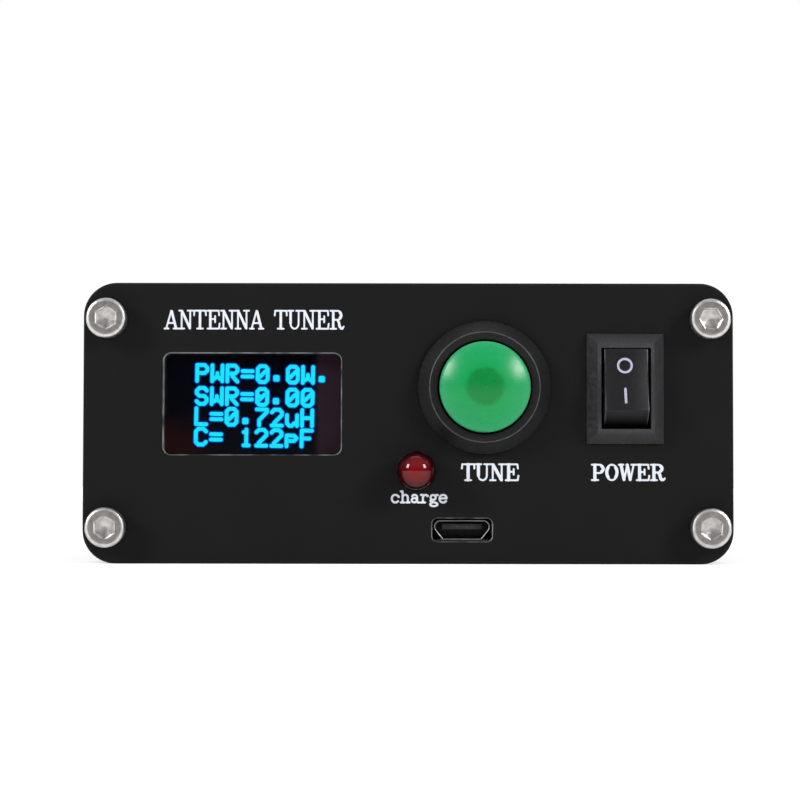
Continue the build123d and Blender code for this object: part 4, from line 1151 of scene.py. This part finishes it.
stud_low, stud_high = box_mm("earth_stud")
STUD_R, STUD_ROWS, STUD_PITCH, STUD_DEPTH = 2.0, 100, 0.7, 0.3
HEAD_BACK, STUD_TIP = stud_low.y - REAR, stud_high.y - REAR
HEAD_FACE = HEAD_BACK + 2.8
THREAD_START, THREAD_END = HEAD_FACE + 2.2, STUD_TIP - 0.35
stud_rows = [(0.0, HEAD_BACK), (3.5, HEAD_BACK), (3.5, HEAD_FACE), (STUD_R, HEAD_FACE)]
stud_rows.append((STUD_R, THREAD_START))
stud_first = len(stud_rows)
for i in range(STUD_ROWS + 1):
    stud_rows.append((STUD_R, THREAD_START + (THREAD_END - THREAD_START) * i / STUD_ROWS))
stud_rows += [(STUD_R - 0.35, STUD_TIP), (0.0, STUD_TIP)]


def stud_shape(row, radius, angle):
    if row in (1, 2):
        radius *= hexagon(angle, 0.0)
    if stud_first <= row <= stud_first + STUD_ROWS:
        radius -= thread_cut(stud_rows[row][1], angle, STUD_PITCH, STUD_DEPTH)
    return radius, 0.0


piece = lathe("earth_stud_threaded", stud_rows, post, "contact_brass", "case", REAR, 1, 72, stud_shape)
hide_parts("earth_stud")

# ---- power switch rocker
rocker_low, rocker_high = box_mm("power_switch_rocker")
PIVOT = (switch.x, FRONT + 1.2, switch.z)
TILT = math.radians(15)
FACE_OUT, FACE_HALF, HOLLOW, ROCKER_R, EDGE = 4.5, 4.343, 0.35, 5.36, 0.16
face_radius = (FACE_HALF**2 + HOLLOW**2) / (2 * HOLLOW)


def tilted(across, up, out):
    """A place measured from the pivot along the tilted rocker."""
    return (
        PIVOT[0] + across,
        PIVOT[1] + up * math.sin(TILT) - out * math.cos(TILT),
        PIVOT[2] + up * math.cos(TILT) + out * math.sin(TILT),
    )


def face_level(up):
    """How far out of the pivot the rocker's hollow face is, at a place up along it."""
    return FACE_OUT - HOLLOW + face_radius - math.sqrt(face_radius**2 - up**2)


def on_rocker(x, up, out):
    return tilted(x, up, face_level(up) + out)


def rocker_outline():
    """Side view of the rocker from its pivot, as (up, out), going round once."""
    points = [(up, face_level(up)) for up in np.linspace(-4.2, 4.2, 17)]
    points += [(4.3, 4.47), (4.37, 4.4)]
    knee, foot = math.atan2(1.4, 5.174), -math.radians(8)
    end = [(ROCKER_R * math.cos(a), ROCKER_R * math.sin(a)) for a in np.linspace(knee, foot, 9)]
    points += end + [(3.6, -1.8), (1.7, -1.8), (1.7, -3.6), (-1.7, -3.6), (-1.7, -1.8), (-3.6, -1.8)]
    points += [(-up, out) for up, out in reversed(end)]
    points += [(-4.37, 4.4), (-4.3, 4.47)]
    return points


def rocker_mesh():
    """The rocker from side to side, its long edges rounded by EDGE."""
    sections = [(-ROCKER_HALF, EDGE), (0.3 * EDGE - ROCKER_HALF, 0.3 * EDGE), (EDGE - ROCKER_HALF, 0.0)]
    sections += [(-x, inset) for x, inset in reversed(sections)]
    outline = rocker_outline()
    return skin([[tilted(x, up, out) for up, out in shrink(outline, inset)] for x, inset in sections])


def pin(half, radius):
    """A round pin along X through the rocker's pivot."""
    circle = arc(PIVOT[1], PIVOT[2], radius, radius, 0, 360, 32)[:-1]
    return skin([[(PIVOT[0] + x, y, z) for y, z in circle] for x in (-half, half)])


rocker_parts = join([rocker_mesh(), pin((rocker_high.x - rocker_low.x) / 2, 1.0)])
piece = add_object("rocker_moulding", *rocker_parts, "rocker_black", "power_rocker", angle=40)
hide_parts("power_switch_rocker")

RING = (arc(-0.2, 2.03, 0.92, 0.92, 0, 360, 40), 0.31)
BAR = ([(-0.15, -3.15), (-0.2, -1.22)], 0.34)
printed("rocker_ring", [RING], on_rocker, "mark_lilac", "power_rocker", 0.02)
printed("rocker_bar", [BAR], on_rocker, "mark_lilac", "power_rocker", 0.02)

# ---- stage: a pale floor that glows more the further out it is, so that it fades into white
tree, shader = new_material("stage_floor")
distance = new_node(tree, "VectorMath")
distance.operation = "LENGTH"
plug(distance.inputs[0], new_node(tree, "TexCoord").outputs["Object"])
feed(
    shader,
    Base_Color=ramp(noise(tree, 60, 3), (0.3, grey(0.86)), (0.7, grey(0.88))),
    Roughness=0.7,
    Emission_Color=(1, 1, 1, 1),
    Emission_Strength=remap(distance.outputs["Value"], 0.36, 0.85, 0.3, 1.6),
)
floor_mesh = bpy.data.meshes.new("stage_floor")
floor_mesh.from_pydata([(-6, -6, 0), (6, -6, 0), (6, 6, 0), (-6, 6, 0)], [], [(0, 1, 2, 3)])
floor_mesh.materials.append(materials["stage_floor"])
floor = bpy.data.objects.new("stage_floor", floor_mesh)
bpy.context.scene.collection.objects.link(floor)


# ---- light
def softbox(name, place, target, size, power):
    """A soft lamp turned to a target: place, target and size in metres, power in watts."""
    data = bpy.data.lights.new(name, "AREA")
    data.shape = "RECTANGLE"
    data.size, data.size_y = size
    data.energy = power
    light = bpy.data.objects.new(name, data)
    bpy.context.scene.collection.objects.link(light)
    light.location = place
    light.rotation_euler = (Vector(target) - Vector(place)).to_track_quat("-Z", "Y").to_euler()


softbox("softbox_left", (-0.66, -0.5, 0.4), (0, -0.03, 0.02), (0.21, 0.29), 5.9)
softbox("softbox_right", (0.62, -0.54, 0.38), (0, -0.03, 0.02), (0.21, 0.30), 6.2)
softbox("softbox_top", (0.0, 0.1, 0.95), (0, 0.0, 0.0), (0.8, 0.45), 1.5)

# the camera sees a white backdrop, and the tuner is lit by a room that is brighter overhead
world = bpy.data.worlds.new("studio")
bpy.context.scene.world = world
world.use_nodes = True
tree = world.node_tree
tree.nodes.clear()
backdrop = new_node(tree, "Background", Color=(1, 1, 1, 1), Strength=1.0)
direction = new_node(tree, "TexCoord").outputs["Generated"]
height = new_node(tree, "SeparateXYZ", Vector=direction).outputs["Z"]
room = new_node(tree, "Background", Strength=remap(height, 0.02, 0.75, 0.1, 0.6))
mixer = new_node(tree, "MixShader")
plug(mixer.inputs[0], new_node(tree, "LightPath").outputs["Is Camera Ray"])
plug(mixer.inputs[1], room.outputs[0])
plug(mixer.inputs[2], backdrop.outputs[0])
new_node(tree, "OutputWorld", Surface=mixer.outputs[0])

bpy.context.scene.view_settings.view_transform = "Standard"
bpy.context.scene.view_settings.look = "None"

# ---- camera: a long lens before the front panel, tipped and rolled a little as the photo's was
DISTANCE, SENSOR, VIEW_WIDTH, VIEW_Z = 400.0, 36.0, 108.25, 22.16
CAMERA_X, CAMERA_Z = -1.1, 11.0
CAMERA_PITCH, CAMERA_ROLL = math.radians(3.0), math.radians(-0.09)
camera_data = bpy.data.cameras.new("camera")
camera_data.sensor_width = SENSOR
camera_data.lens = SENSOR * DISTANCE / VIEW_WIDTH
camera_data.clip_start = 0.02
camera_data.clip_end = 20.0
camera_data.shift_y = (VIEW_Z - (CAMERA_Z + DISTANCE * math.tan(CAMERA_PITCH))) / VIEW_WIDTH
camera = bpy.data.objects.new("camera", camera_data)
bpy.context.scene.collection.objects.link(camera)
camera.location = (CAMERA_X * MM, (FRONT - DISTANCE) * MM, CAMERA_Z * MM)
camera.rotation_euler = (math.pi / 2 + CAMERA_PITCH, CAMERA_ROLL, 0)
bpy.context.scene.camera = camera
